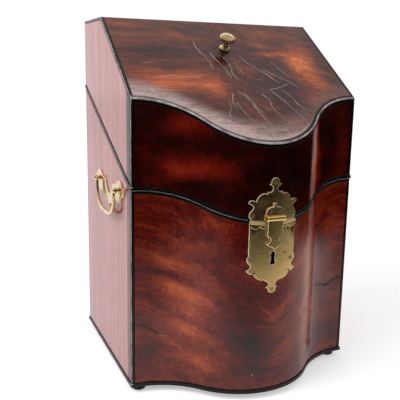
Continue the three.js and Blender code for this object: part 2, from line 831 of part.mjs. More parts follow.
function knob() {
  const tail = [
    [0, -knobTailLength],
    [knobTailRadius, -knobTailLength],
    [knobTailRadius, seat],
    [knobRadius * 0.64, seat],
  ];
  const head = [
    [0.7, 0.08],
    [0.66, 0.15],
    [0.5, 0.2],
    [0.36, 0.27],
    [0.27, 0.38],
    [0.25, 0.5],
    [0.3, 0.575],
    [0.5, 0.62],
    [0.78, 0.665],
    [0.96, 0.74],
    [1, 0.8],
    [0.95, 0.87],
    [0.76, 0.935],
    [0.45, 0.98],
    [0, 1],
  ].map(([r, z]) => [r * knobRadius, z * knobProud]);
  const profile = tail.concat(head);
  const mesh = piece("lid_knob", turned(profile, knobSteps), brass);
  mesh.rotation.x = topAngle;
  mesh.position.set(0, knobFromFront, slopeAt(knobFromFront));
  return mesh;
}

// A side handle in its own frame: the side's surface is x = 0, the handle stands out towards -X, and the line
// of the bail's pins is at z = 0.
function handlePlateOutline() {
  const half = postSpacing / 2;
  const outline = mirrored([
    [0, -21],
    [6, -18.8],
    [12, -17.6],
    [16.5, -13.6],
    [23, -11.6],
    ...arc(half - 2, -4, 8.6, -100, -25, 5),
    ...arc(half + 10.6, -1, 4.4, -70, 70, 5),
    ...arc(half, 1.6, 7, 25, 110, 5),
    [29, 6.2],
    [23, 3.4],
    [17, 2.6],
    [11.5, -0.6],
    [6, -7.4],
    [0, -10],
  ]);
  return fitted(outline, half + handlePlateOverhang, handlePlateDrop);
}

// The bail's ends lie inside the posts, and its pins turn outwards into their balls.
const bailHalfWidth = postSpacing / 2 - postBallRadius - running - bailRadius;

function bailCurve() {
  const rightSide = [
    [1, 0],
    [1, -0.18],
    [0.96, -0.42],
    [0.86, -0.66],
    [0.68, -0.87],
    [0.4, -0.98],
  ].map(([y, share]) => [y * bailHalfWidth, share * bailDrop]);
  const points = [
    ...rightSide,
    [0, -bailDrop],
    ...rightSide
      .slice()
      .reverse()
      .map(([y, z]) => [-y, z]),
  ];
  return new THREE.CatmullRomCurve3(
    points.map(([y, z]) => new THREE.Vector3(0, y, z)),
    false,
    "centripetal",
  );
}

function bail() {
  const round = arc(0, 0, bailRadius, 0, 360 - 360 / bailSides, bailSides - 1);
  const section = new THREE.Shape(round.map(([u, v]) => new THREE.Vector2(u, v)));
  const rod = solidFrom(
    new THREE.ExtrudeGeometry(section, { steps: bailSteps, bevelEnabled: false, extrudePath: bailCurve() }),
  );
  const pinEnd = postSpacing / 2 + postBallRadius * 0.7;
  const shoulder = ball(bailRadius).translate([0, bailHalfWidth, 0]);
  const pin = rodY(0, 0, bailPinRadius, bailHalfWidth, pinEnd);
  const end = union([shoulder, pin]);
  return union([rod, end, end.mirror([0, 1, 0])]);
}

function handle(side) {
  const group = new THREE.Group();
  const plate = across(handlePlateOutline(), -seat - handlePlateThickness, -seat);
  const postFoot = -seat - handlePlateThickness - fit;
  const stem = rodX(0, 0, postRadius, -postLength, postFoot);
  const collar = rodX(0, 0, postBallRadius, postFoot - collarThickness, postFoot);
  const bore = rodY(0, 0, bailPinRadius + running, -beyond, beyond).translate([-postLength, 0, 0]);
  const post = union([stem, collar, ball(postBallRadius).translate([-postLength, 0, 0])]).subtract(bore);
  group.add(piece(side + "_handle_plate", plate, brass));
  for (const [end, y] of [
    ["a", -postSpacing / 2],
    ["b", postSpacing / 2],
  ]) {
    const mesh = piece(side + "_handle_post_" + end, post, brass);
    mesh.position.y = y;
    group.add(mesh);
  }
  const swinging = piece(side + "_bail", bail(), brass);
  swinging.position.x = -postLength;
  group.add(swinging);
  group.position.set(side === "left" ? -halfWidth : halfWidth, handleFromFront, handleHeight);
  group.rotation.z = side === "left" ? 0 : Math.PI;
  return group;
}

const group = new THREE.Group();
const base = new THREE.Group();
const lid = new THREE.Group();
const backHinges = hinges();
base.add(...baseCarcass(), ...baseStringing(), ...feet(), ...deck(), ...lock(), ...backHinges.base);
base.add(piece("lock_bolt", bolt(), steel), handle("left"), handle("right"));
lid.add(...lidCarcass(), ...lidStringing(), ...lidBrass(), ...hasp(), knob(), ...backHinges.lid);
group.add(base, lid);

const box = new THREE.Box3().setFromObject(group);
group.position.set(0, -(box.min.y + box.max.y) / 2, -box.min.z);

export default group;
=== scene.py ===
import math

import bmesh
import bpy
from mathutils import Matrix, Vector


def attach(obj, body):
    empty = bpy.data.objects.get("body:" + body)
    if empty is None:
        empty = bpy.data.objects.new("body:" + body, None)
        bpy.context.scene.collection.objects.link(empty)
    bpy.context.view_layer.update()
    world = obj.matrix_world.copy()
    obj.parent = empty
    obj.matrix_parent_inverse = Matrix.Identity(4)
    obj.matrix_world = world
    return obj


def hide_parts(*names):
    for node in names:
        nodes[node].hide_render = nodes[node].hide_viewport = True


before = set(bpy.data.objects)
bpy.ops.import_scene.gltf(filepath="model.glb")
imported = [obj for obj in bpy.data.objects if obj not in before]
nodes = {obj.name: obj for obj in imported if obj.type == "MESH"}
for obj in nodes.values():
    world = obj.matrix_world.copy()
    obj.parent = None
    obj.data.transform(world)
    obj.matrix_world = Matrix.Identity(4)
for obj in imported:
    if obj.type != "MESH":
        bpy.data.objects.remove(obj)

for name in ("Cube", "Light", "Camera"):
    if name in bpy.data.objects:
        bpy.data.objects.remove(bpy.data.objects[name])
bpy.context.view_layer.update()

# Sizes are in millimetres in the box's own frame: y = 0 at the front corners, z = 0 under the carcass.
SHIFT = Vector((0, -61.4, 10))
HALF_WIDTH = 115
BULGE = 51
BULGE_RADIUS = 75
BULGE_END = 113.5
CONCAVE_RADIUS = 76.8
HEIGHT = 337
SLOPE_FRONT = 263.5
TOP_RISE = 73.5 / 104
JOINT_RISE = 83.5 / 175
JOINT_FRONT = 183
JOINT_MIDDLE = JOINT_FRONT - JOINT_RISE * BULGE
JOINT_GAP = 0.25
HASP_PIN = Vector((0, -55.05, JOINT_MIDDLE + 3.4))
KNOB = Vector((0, 63, SLOPE_FRONT + TOP_RISE * 63))
HANDLE = Vector((HALF_WIDTH, 73, 177))


def at(x, y, z):
    return (Vector((x, y, z)) + SHIFT) / 1000


def front_y(x, out=0.0):
    """The bulge's surface, or a surface that far in front of it, where the lock is."""
    return BULGE_RADIUS - BULGE - math.sqrt((BULGE_RADIUS + out) ** 2 - x * x)


def joint_z(x, out):
    return JOINT_FRONT + JOINT_RISE * front_y(x, out)


# Shaders


class Nodes:
    """Nodes of a material or of the world. Most of its calls add a node and return the output."""

    def __init__(self, tree):
        self.tree = tree

    def node(self, kind, **settings):
        made = self.tree.nodes.new(kind)
        for name, value in settings.items():
            setattr(made, name, value)
        return made

    def put(self, socket, value):
        if isinstance(value, bpy.types.NodeSocket):
            self.tree.links.new(value, socket)
        else:
            socket.default_value = value

    def math(self, operation, a, b=0.0):
        made = self.node("ShaderNodeMath", operation=operation)
        self.put(made.inputs[0], a)
        self.put(made.inputs[1], b)
        return made.outputs[0]

    def ease(self, value, low, high, out_low=0.0, out_high=1.0):
        made = self.node("ShaderNodeMapRange", interpolation_type="SMOOTHSTEP")
        for socket, given in zip(made.inputs, (value, low, high, out_low, out_high)):
            self.put(socket, given)
        return made.outputs[0]

    def split(self, vector):
        made = self.node("ShaderNodeSeparateXYZ")
        self.put(made.inputs[0], vector)
        return made.outputs


class Shade(Nodes):
    """A material whose coordinates are millimetres in the box's own frame."""

    def __init__(self, name):
        self.material = bpy.data.materials.new(name)
        self.material.use_nodes = True
        super().__init__(self.material.node_tree)
        self.shader = self.tree.nodes["Principled BSDF"]
        place = self.node("ShaderNodeTexCoord").outputs["Object"]
        scaled = self.node("ShaderNodeVectorMath", operation="MULTIPLY_ADD")
        self.put(scaled.inputs[0], place)
        scaled.inputs[1].default_value = (1000, 1000, 1000)
        scaled.inputs[2].default_value = -SHIFT
        self.place = scaled.outputs[0]
        self.x, self.y, self.z = self.split(self.place)

    def add(self, *values):
        total = values[0]
        for value in values[1:]:
            total = self.math("ADD", total, value)
        return total

    def times(self, *values):
        total = values[0]
        for value in values[1:]:
            total = self.math("MULTIPLY", total, value)
        return total

    def vector(self, x, y, z):
        made = self.node("ShaderNodeCombineXYZ")
        for socket, value in zip(made.inputs, (x, y, z)):
            self.put(socket, value)
        return made.outputs[0]

    def noise(self, vector, scale=1.0, detail=3.0, roughness=0.55):
        made = self.node("ShaderNodeTexNoise")
        self.put(made.inputs["Vector"], vector)
        made.inputs["Scale"].default_value = scale
        made.inputs["Detail"].default_value = detail
        made.inputs["Roughness"].default_value = roughness
        return made.outputs["Fac"]

    def streaks(self, along, across, third, length, width, detail=3.0, roughness=0.6):
        """Noise drawn out along the grain: length and width are the size of a streak."""
        point = self.vector(
            self.times(along, 1 / length), self.times(across, 1 / width), self.times(third, 1 / width)
        )
        return self.noise(point, 1.0, detail, roughness)

    def colours(self, value, stops):
        made = self.node("ShaderNodeValToRGB")
        ramp = made.color_ramp
        while len(ramp.elements) < len(stops):
            ramp.elements.new(1.0)
        for element, (place, colour) in zip(ramp.elements, stops):
            element.position = place
            element.color = (*colour, 1.0)
        self.put(made.inputs[0], value)
        return made.outputs[0]

    def mix(self, share, a, b):
        made = self.node("ShaderNodeMix", data_type="RGBA")
        self.put(made.inputs[0], share)
        for socket, value in ((made.inputs[6], a), (made.inputs[7], b)):
            self.put(socket, (*value, 1.0) if isinstance(value, tuple) else value)
        return made.outputs[2]

    def spot(self, u, v, place, size, degrees=0.0):
        """A soft oval, 1 in its middle and 0 at its edge."""
        made = self.node("ShaderNodeMapping", vector_type="TEXTURE")
        self.put(made.inputs["Vector"], self.vector(u, v, 0.0))
        made.inputs["Location"].default_value = (*place, 0)
        made.inputs["Rotation"].default_value = (0, 0, math.radians(degrees))
        made.inputs["Scale"].default_value = (*size, 1)
        length = self.node("ShaderNodeVectorMath", operation="LENGTH")
        self.put(length.inputs[0], made.outputs[0])
        return self.ease(length.outputs["Value"], 1.0, 0.0)

    def crack(self, u, v, start, end, bend, width):
        """A thin bent line, 1 on the line and 0 away from it."""
        run = Vector(end) - Vector(start)
        made = self.node("ShaderNodeMapping", vector_type="TEXTURE")
        self.put(made.inputs["Vector"], self.vector(u, v, 0.0))
        made.inputs["Location"].default_value = (*start, 0)
        made.inputs["Rotation"].default_value = (0, 0, math.atan2(run.y, run.x))
        made.inputs["Scale"].default_value = (run.length, 1, 1)
        along, side, _ = self.split(made.outputs[0])
        bow = self.times(self.math("SINE", self.times(along, 2 * math.pi)), bend)
        away = self.math("ABSOLUTE", self.math("SUBTRACT", side, bow))
        middle = self.math("ABSOLUTE", self.math("SUBTRACT", along, 0.5))
        return self.times(self.ease(away, width, 0.0), self.ease(middle, 0.5, 0.3))

    def done(self, colour, roughness, bump=None, depth=0.02, metallic=0.0, specular=0.5):
        """Closes the material. The bump's depth is in millimetres for a height of 1."""
        self.put(self.shader.inputs["Base Color"], colour)
        self.put(self.shader.inputs["Roughness"], roughness)
        self.shader.inputs["Metallic"].default_value = metallic
        self.shader.inputs["Specular IOR Level"].default_value = specular
        if bump is not None:
            made = self.node("ShaderNodeBump")
            made.inputs["Distance"].default_value = depth / 1000
            self.put(made.inputs["Height"], bump)
            self.put(self.shader.inputs["Normal"], made.outputs[0])
        return self.material


# Woods. A figure is a number over the surface, 0 where the wood is dark and 1 where it glows orange.

FRONT = [
    (0.0, (0.004, 0.0012, 0.001)),
    (0.25, (0.02, 0.003, 0.002)),
    (0.5, (0.1, 0.006, 0.003)),
    (0.75, (0.26, 0.034, 0.01)),
    (1.0, (0.5, 0.1, 0.025)),
]
LID = [
    (0.0, (0.003, 0.0008, 0.0006)),
    (0.25, (0.022, 0.002, 0.001)),
    (0.5, (0.1, 0.0045, 0.002)),
    (0.75, (0.22, 0.016, 0.006)),
    (1.0, (0.42, 0.07, 0.025)),
]
TOP = [
    (0.0, (0.016, 0.006, 0.006)),
    (0.25, (0.045, 0.012, 0.01)),
    (0.5, (0.15, 0.032, 0.014)),
    (0.75, (0.36, 0.075, 0.02)),
    (1.0, (0.62, 0.15, 0.036)),
]
FADED = [
    (0.0, (0.2, 0.05, 0.05)),
    (0.35, (0.36, 0.12, 0.12)),
    (0.65, (0.5, 0.205, 0.21)),
    (1.0, (0.64, 0.3, 0.3)),
]


def spots_of(s, u, v, spots):
    total = 0.0
    for place, size, angle, amount in spots:
        total = s.add(total, s.times(s.spot(u, v, place, size, angle), amount))
    return total


def varied(s, noise, amount):
    """A noise about nought, that strong."""
    return s.times(s.add(noise, -0.5), amount)


def polished(s, figure, ramp, along, across, third, marks=None, dull_polish_and_sheen=None, relief=None):
    """A veneered face, with grain along the first of three directions.

    The ramp gives the figure its colours, as a list of stops or as a function. The marks are pale lines,
    dark lines and open cracks. Where the polish has gone dull, a painted sheen pales the colour towards
    grey-pink and roughens it. The relief is a height in millimetres.
    """
    pores = s.ease(s.streaks(along, across, third, 14, 0.5, 2.0), 0.56, 0.72)
    fibre = s.streaks(along, across, third, 22, 0.9, 4.0, 0.7)
    rays = s.streaks(across, along, third, 9, 1.1, 3.0, 0.65)
    value = s.add(figure, varied(s, fibre, 0.55), varied(s, rays, 0.3), s.times(pores, -0.08))
    colour = ramp(value) if callable(ramp) else s.colours(value, ramp)
    wear = s.noise(s.place, 0.035, 4.0, 0.6)
    height = s.add(s.times(pores, -0.4), s.times(fibre, 0.2), s.times(wear, 1.2))
    rough = s.add(s.ease(wear, 0.3, 0.7, 0.09, 0.17), s.times(pores, 0.05))
    # Painted sheen: a grey-pink veil, also roughened, where the polish is dull.
    if dull_polish_and_sheen is not None:
        colour = s.mix(dull_polish_and_sheen, colour, (0.5, 0.36, 0.34))
        rough = s.add(rough, s.times(dull_polish_and_sheen, 0.2))
    if marks:
        pale, dark, cracks = marks
        colour = s.mix(s.times(dark, 0.92), colour, (0.004, 0.002, 0.002))
        colour = s.mix(s.times(pale, 0.85), colour, (0.46, 0.38, 0.36))
        height = s.add(height, s.times(cracks, -4.0))
        rough = s.add(rough, s.times(pale, 0.25), s.times(dark, 0.3))
    if relief is not None:
        height = s.add(height, s.times(relief, 50))
    return s.done(colour, rough, height, 0.02)


def flanks(s):
    """Unevenness of the hand shaped flanks of the bulge, in millimetres."""
    out = s.math("ABSOLUTE", s.x)
    ridge = s.ease(s.math("ABSOLUTE", s.math("SUBTRACT", out, 76)), 2.2, 0)
    wave = varied(s, s.streaks(s.z, s.x, s.y, 160, 14, 1.0), 0.25)
    return s.add(s.ease(out, 48.5, 63.5, 0, 1.4), s.times(ridge, 0.12), wave)


def front_base_wood():
    s = Shade("mahogany_front_base")
    sway = varied(s, s.noise(s.place, 0.02, 2.0), 16)
    u = s.add(s.x, sway)
    v = s.add(s.z, s.times(sway, 0.6))
    fall = s.ease(s.x, -115, 10, 38, 0)
    rise = s.ease(s.x, 0, 75, 0, 48)
    across = s.add(v, s.times(s.add(fall, rise), -1.0))
    bands = s.streaks(u, across, s.y, 110, 16, 2.0, 0.45)
    fine = s.streaks(u, across, s.y, 60, 3.5, 3.0, 0.65)
    spots = [
        ((-70, 80), (34, 100), 0, 0.18),
        ((-76, 168), (70, 22), -10, -0.04),
        ((-80, 118), (34, 8), -22, 0.2),
        ((-60, 132), (20, 14), 0, 0.1),
        ((-82, 104), (34, 7), -26, -0.16),
        ((-70, 90), (34, 8), -26, 0.18),
        ((-86, 74), (34, 6), -28, -0.16),
        ((-66, 54), (34, 9), -30, 0.22),
        ((-84, 36), (34, 6), -28, -0.18),
        ((-58, 20), (28, 8), -26, 0.18),
        ((-100, 30), (20, 40), 0, -0.1),
        ((18, 80), (44, 8), 36, 0.16),
        ((36, 62), (44, 8), 42, 0.16),
        ((14, 36), (34, 8), 34, 0.1),
        # Painted highlight: an upright band over the flank, where the reflection of the white backdrop runs
        # down the base.
        ((54, 84), (24, 120), 0, 0.3),
        ((38, 108), (40, 60), 0, 0.14),
        ((-20, 60), (30, 84), 8, -0.22),
        ((-28, 140), (16, 30), 0, -0.16),
        ((-5, 28), (44, 24), 0, -0.1),
        ((96, 110), (34, 80), 0, 0.05),
        ((106, 20), (20, 36), 0, -0.12),
    ]
    figure = s.add(0.54, varied(s, bands, 0.6), varied(s, fine, 0.5))
    figure = s.add(figure, spots_of(s, u, v, spots))
    specks = [(-102, 12), (-52, 47), (34, 136), (93, 128), (56, 144)]
    dark = s.add(
        s.crack(s.x, s.z, (-113, 59), (-80, 45), 1.2, 0.9),
        s.crack(s.x, s.z, (68, 77), (96, 75), 1.4, 1.7),
        s.crack(s.x, s.z, (84, 74), (114, 79), -1.8, 2.2),
        s.crack(s.x, s.z, (-30, 106), (-6, 62), 1.6, 0.6),
        s.crack(s.x, s.z, (-6, 92), (10, 68), 1.0, 0.4),
        s.crack(s.x, s.z, (40, 70), (52, 62), 0.8, 0.3),
        *(s.spot(s.x, s.z, place, (1.1, 1.1)) for place in specks),
    )
    pale = s.add(
        s.crack(s.x, s.z, (-90, 47), (-84, 45), 0.2, 0.4),
        s.spot(s.x, s.z, (-15, 14), (1.2, 1.2)),
        s.times(s.crack(s.x, s.z, (38, 74), (60, 62), 0.6, 0.6), 0.3),
        s.times(s.crack(s.x, s.z, (-12, 84), (4, 66), -0.8, 0.6), 0.2),
        s.times(s.crack(s.x, s.z, (8, 50), (36, 72), 0.8, 0.6), 0.16),
    )
    return polished(s, figure, FRONT, u, across, s.y, (pale, dark, dark), relief=flanks(s))


def front_lid_wood():
    s = Shade("mahogany_front_lid")
    sway = varied(s, s.noise(s.place, 0.02, 2.0), 24)
    u = s.add(s.x, sway)
    v = s.add(s.z, s.times(sway, 0.7))
    bands = s.streaks(u, v, s.y, 80, 16, 2.0, 0.45)
    patches = s.noise(s.place, 0.05, 3.0, 0.6)
    spots = [
        ((-62, 204), (42, 17), 0, 0.5),
        ((-68, 240), (30, 20), 0, 0.34),
        ((-90, 190), (20, 14), 0, 0.16),
        ((-104, 215), (10, 40), 0, 0.1),
        ((-36, 202), (16, 14), 0, 0.12),
        # Painted highlight: this band lightens the flank where the reflection of the white backdrop runs.
        ((54, 205), (14, 90), 0, 0.85),
        ((66, 190), (10, 60), 0, 0.2),
        ((102, 215), (20, 70), 0, 0.24),
        ((10, 215), (34, 60), 0, -0.14),
    ]
    figure = s.add(0.2, varied(s, bands, 0.4), varied(s, patches, 0.4))
    figure = s.add(figure, spots_of(s, u, v, spots))
    dark = s.crack(s.x, s.z, (12, 205), (24, 178), 1.0, 0.3)
    return polished(s, figure, LID, u, v, s.y, (0.0, dark, dark), relief=flanks(s))


def top_wood():
    s = Shade("mahogany_top")
    sway = varied(s, s.noise(s.place, 0.022, 3.0), 30)
    u = s.add(s.x, sway)
    v = s.add(s.y, s.times(sway, 0.8))
    across = s.add(v, s.ease(s.x, -30, 110, 0, 70), s.times(s.x, 0.12))
    bands = s.streaks(u, across, s.z, 90, 12, 4.0, 0.6)
    fine = s.streaks(u, across, s.z, 40, 1.8, 3.0, 0.65)
    upright = s.streaks(s.add(s.y, s.times(s.x, 1.2)), s.x, s.z, 34, 2.6, 2.0)
    flame = s.spot(s.x, s.y, (76, 44), (26, 44), -14)
    spots = [
        ((-70, 22), (68, 24), -4, 0.44),
        ((-30, 12), (24, 14), -10, 0.3),
        ((-50, 82), (34, 7), -6, 0.2),
        ((-100, 96), (30, 10), 0, 0.16),
        ((46, 72), (28, 5), 4, 0.26),
        ((52, 60), (32, 7), 8, 0.4),
        ((78, 46), (29, 46), -14, 0.55),
        ((82, 10), (20, 20), 0, 0.2),
        ((8, 32), (14, 12), 0, 0.12),
        ((24, 32), (12, 14), 0, -0.14),
        # Painted shade: darker wood just in front of the knob's foot.
        ((-8, 50), (14, 12), 0, -0.2),
        ((60, 88), (50, 9), 0, 0.14),
        ((-70, 58), (60, 16), 0, -0.14),
        ((-6, 70), (26, 24), 0, -0.12),
        ((34, 4), (40, 34), -40, -0.2),
        ((40, 34), (24, 18), -40, -0.14),
        ((106, 60), (10, 60), 0, -0.12),
        ((0, 140), (120, 30), 0, 0.08),
    ]
    figure = s.add(0.35, varied(s, bands, 0.7), varied(s, fine, 0.6))
    figure = s.add(figure, spots_of(s, u, v, spots), s.times(s.add(upright, -0.5), flame, 0.7))
    wander = varied(s, s.noise(s.place, 0.08, 3.0), 8)
    cu = s.add(s.x, wander)
    cv = s.add(s.y, s.times(wander, -1.0))
    crazes = [
        ((-28, 84), (-24, 26), -2.2),
        ((-14, 66), (-10, 16), -2.4),
        ((-9, 60), (1, 15), 1.8),
        ((3, 50), (6, 27), -1.0),
        ((10, 64), (41, 9), -3.0),
        ((25, 47), (63, 5), -2.2),
        ((40, 51), (59, 24), 1.4),
        ((20, 5), (53, 22), 1.4),
        ((-17, 10), (-21, -15), 1.0),
        ((-16, 16), (16, -46), 3.0),
        ((-9, 10), (8, -22), 1.6),
        ((11, 10), (24, -30), 2.0),
        ((20, 13), (51, -32), 2.6),
        ((32, 16), (55, -19), 1.8),
        ((-15, 0), (-11, -42), -2.0),
        ((-6, -23), (1, -49), 1.0),
        ((19, -22), (34, -41), 1.0),
        ((-26, 2), (-29, -28), 1.4),
    ]
    outside = s.ease(s.add(s.z, s.times(s.y, -TOP_RISE), -SLOPE_FRONT), -3, -1)
    craze = 0.0
    for line in crazes:
        craze = s.math("MAXIMUM", craze, s.crack(cu, cv, *line, 1.6))
    craze = s.times(craze, outside)
    scratches = s.add(
        s.crack(cu, cv, (-92, 24), (-30, 28), 0.8, 0.5),
        s.crack(cu, cv, (-92, 42), (-76, 45), 0.3, 0.5),
    )
    scratches = s.times(scratches, outside, 0.5)
    pale = s.add(s.times(s.ease(craze, 0.74, 1.0), s.ease(wander, -1.2, 1.2, 0.4, 0.9)), scratches)
    cracks = s.add(
        s.crack(s.x, s.y, (14, -44), (9, -30), 0.3, 0.4),
        s.crack(s.x, s.y, (26, -42), (42, -30), 0.4, 0.4),
        s.crack(s.x, s.y, (22, -44), (20, -36), 0.2, 0.4),
        s.crack(s.x, s.y, (-2, -46), (-8, -34), 0.2, 0.35),
    )
    # Painted shade: a darker band beside each craze's pale line.
    dark = s.add(cracks, s.times(s.ease(craze, 0.05, 0.6), 0.45))
    # Painted sheen along the slope's front edge, strongest at the left, and a thin painted highlight along
    # the edge at the right; it also roughens the polish as if rubbed.
    half = BULGE / 2
    edge = s.add(s.y, s.times(s.math("COSINE", s.times(s.x, math.pi / BULGE_END)), half), half)
    worn = s.streaks(u, v, s.z, 26, 2.2, 4.0, 0.65)
    rubbed = s.times(s.ease(edge, 29, 2), s.ease(s.x, 55, -30, 0.15, 1.15), s.ease(worn, 0.3, 0.62, 0.3, 1.0))
    rubbed = s.add(rubbed, s.times(s.ease(edge, 7, 2), s.ease(s.x, 60, 20, 0.0, 0.4)))
    dull_polish_and_sheen = s.times(s.math("MINIMUM", rubbed, 0.85), outside)
    return polished(s, figure, TOP, u, across, s.z, (pale, dark, cracks), dull_polish_and_sheen)


def side_wood():
    """Straight upright grain. Light has faded the outer face to a paler pink."""
    s = Shade("mahogany_side")
    bands = s.streaks(s.z, s.y, s.x, 260, 13, 2.0, 0.5)
    fine = s.streaks(s.z, s.y, s.x, 120, 2.2, 3.0, 0.6)
    figure = s.add(0.56, varied(s, bands, 0.6), varied(s, fine, 0.4))
    # Two darker red-brown patches on the outer face, near the front of the handle plate.
    red_brown_patches = s.add(
        s.times(s.spot(s.y, s.z, (42, 156), (34, 18), -14), 1.3),
        s.times(s.spot(s.y, s.z, (13, 179), (9, 7)), 1.2),
    )
    dark = s.add(
        s.crack(s.y, s.z, (68, 85), (80, 82), 0.3, 0.4),
        s.crack(s.y, s.z, (38, 76), (66, 66), 0.3, 0.3),
        *(s.spot(s.y, s.z, place, (0.9, 0.9)) for place in ((70, 108), (64, 92), (120, 60))),
    )
    red_brown_share = s.ease(s.times(red_brown_patches, s.ease(s.x, 0, -50)), 0.0, 1.1)
    outer = s.ease(s.math("ABSOLUTE", s.x), HALF_WIDTH - 1.4, HALF_WIDTH - 0.6)

    def ramp(value):
        faded = s.mix(red_brown_share, s.colours(value, FADED), (0.2, 0.022, 0.008))
        return s.mix(outer, s.colours(value, FRONT), faded)

    return polished(s, figure, ramp, s.z, s.y, s.x, (0.0, s.times(dark, 0.6), dark))


def back_wood():
    s = Shade("mahogany_back")
    bands = s.streaks(s.z, s.x, s.y, 220, 16, 3.0, 0.5)
    fine = s.streaks(s.z, s.x, s.y, 90, 2.0, 3.0, 0.6)
    figure = s.add(0.5, varied(s, bands, 0.6), varied(s, fine, 0.4))
    return polished(s, figure, FRONT, s.z, s.x, s.y)


def deck_wood():
    s = Shade("mahogany_deck")
    bands = s.streaks(s.x, s.y, s.z, 120, 9, 3.0, 0.5)
    fine = s.streaks(s.x, s.y, s.z, 60, 1.6, 3.0, 0.6)
    figure = s.add(0.6, varied(s, bands, 0.6), varied(s, fine, 0.4))
    return polished(s, figure, TOP, s.x, s.y, s.z)


def plain_wood(name, stops):
    """Unpolished boards, grain along the width."""
    s = Shade(name)
    bands = s.streaks(s.x, s.z, s.y, 140, 6, 3.0, 0.5)
    fine = s.streaks(s.x, s.z, s.y, 50, 0.9, 3.0, 0.7)
    figure = s.add(s.times(bands, 0.6), s.times(fine, 0.4))
    return s.done(s.colours(figure, stops), s.ease(fine, 0.3, 0.7, 0.55, 0.8), fine, 0.08)


def arris_wear_and_highlight(s):
    """Where the strings are pale: rubbed wear and painted highlights on the outer arrises, the slope's front
    edge and the joint.
    """
    out = s.math("ABSOLUTE", s.x)
    ahead = s.math("POWER", s.add(s.y, BULGE - BULGE_RADIUS), 2.0)
    inner = s.math("SQRT", s.add(s.times(s.x, s.x), ahead))
    aside = s.math("POWER", s.add(out, -BULGE_END), 2.0)
    outer = s.math("SQRT", s.add(aside, s.math("POWER", s.add(s.y, CONCAVE_RADIUS), 2.0)))
    flank = s.ease(out, 55.5, 56.5)
    convex_depth = s.times(s.math("SUBTRACT", BULGE_RADIUS, inner), s.math("SUBTRACT", 1.0, flank))
    depth = s.add(convex_depth, s.times(s.add(outer, -CONCAVE_RADIUS), flank))
    slope = s.times(s.add(SLOPE_FRONT, s.times(s.y, TOP_RISE), s.times(s.z, -1.0)), 0.82)
    under = s.math("MINIMUM", slope, s.math("SUBTRACT", HEIGHT, s.z))
    inward = s.math("SUBTRACT", HALF_WIDTH, out)
    most = s.math("MAXIMUM", s.math("MAXIMUM", depth, under), inward)
    corner = s.ease(s.add(depth, under, inward, s.times(most, -1.0)), 1.1, 0.6)
    joint = s.math("ABSOLUTE", s.add(s.z, s.times(s.y, -JOINT_RISE), -JOINT_FRONT))
    top = s.times(s.ease(under, 0.4, 0.2), s.ease(depth, 5, 4), s.ease(s.x, 50, -40, 0.0, 0.3))
    lower = s.times(s.ease(joint, 1.3, 0.9), s.ease(inward, 0.5, 1.0), s.ease(out, 23, 25))
    return s.math("MAXIMUM", s.math("MAXIMUM", corner, top), lower)


def ebonised_wood(name, rubbed_and_highlit_arrises):
    """Black stained wood, rubbed through in places. Asked to, it paints its arrises pale, as rubbed wear and
    as highlights.
    """
    s = Shade(name)
    worn = s.noise(s.place, 0.09, 5.0, 0.7)
    fine = s.noise(s.place, 1.3, 3.0, 0.6)
    colour = s.mix(s.ease(worn, 0.54, 0.8), (0.003, 0.002, 0.002), (0.03, 0.015, 0.012))
    # Painted highlights on the arrises, mottled like rubbed wear.
    if rubbed_and_highlit_arrises:
        pale = s.mix(s.ease(worn, 0.36, 0.66), (0.5, 0.44, 0.43), (0.16, 0.13, 0.13))
        colour = s.mix(arris_wear_and_highlight(s), colour, pale)
    rough = s.ease(worn, 0.3, 0.75, 0.2, 0.36)
    return s.done(colour, rough, s.add(worn, s.times(fine, 0.4)), 0.04, 0.0, 0.3)


def brass(name, light, dark, low, high, metallic=1.0):
    """Old brass: bright where it is rubbed, olive where it has tarnished."""
    s = Shade(name)
    cloud = s.noise(s.place, 0.05, 5.0, 0.6)
    speck = s.noise(s.place, 0.8, 4.0, 0.7)
    rubbed = s.streaks(s.z, s.x, s.y, 12, 0.5, 2.0)
    tarnish = s.add(s.ease(cloud, 0.46, 0.72, 0.0, 0.7), s.times(s.ease(speck, 0.62, 0.76), 0.3))
    colour = s.mix(s.math("MINIMUM", tarnish, 1.0), light, dark)
    rough = s.add(s.ease(cloud, 0.35, 0.7, low, high), s.times(rubbed, 0.06))
    height = s.add(s.times(cloud, 1.4), s.times(speck, 0.3), s.times(rubbed, 0.15))
    return s.done(colour, rough, height, 0.04, metallic)


def old_steel():
    s = Shade("steel")
    cloud = s.noise(s.place, 0.12, 5.0, 0.7)
    colour = s.mix(s.ease(cloud, 0.5, 0.7), (0.32, 0.31, 0.3), (0.13, 0.07, 0.04))
    return s.done(colour, s.ease(cloud, 0.4, 0.7, 0.35, 0.7), cloud, 0.06, 0.9)


ebony = ebonised_wood("ebonised", False)
arris = ebonised_wood("ebonised_arris_highlit", True)
plate_brass = brass("brass_plates", (1.0, 0.69, 0.27), (0.62, 0.41, 0.13), 0.16, 0.28)
handle_brass = brass("brass_handles", (0.86, 0.67, 0.38), (0.5, 0.36, 0.16), 0.12, 0.2)
# Pale, half metallic brass for the plates' rounded edges, lit by the lamps: painted highlights and rubbed
# edges.
worn_and_highlit_brass = brass("brass_edges", (0.95, 0.8, 0.5), (0.7, 0.52, 0.25), 0.2, 0.35, 0.55)
old_brass = brass("brass_pins", (0.5, 0.34, 0.16), (0.2, 0.13, 0.06), 0.2, 0.35)
steel = old_steel()
side = side_wood()
top = top_wood()
back = back_wood()
deck = deck_wood()
oak = plain_wood("oak", [(0.25, (0.16, 0.09, 0.04)), (0.5, (0.3, 0.18, 0.09)), (0.75, (0.42, 0.28, 0.15))])
holly = plain_wood("holly", [(0.25, (0.5, 0.36, 0.18)), (0.75, (0.68, 0.54, 0.32))])

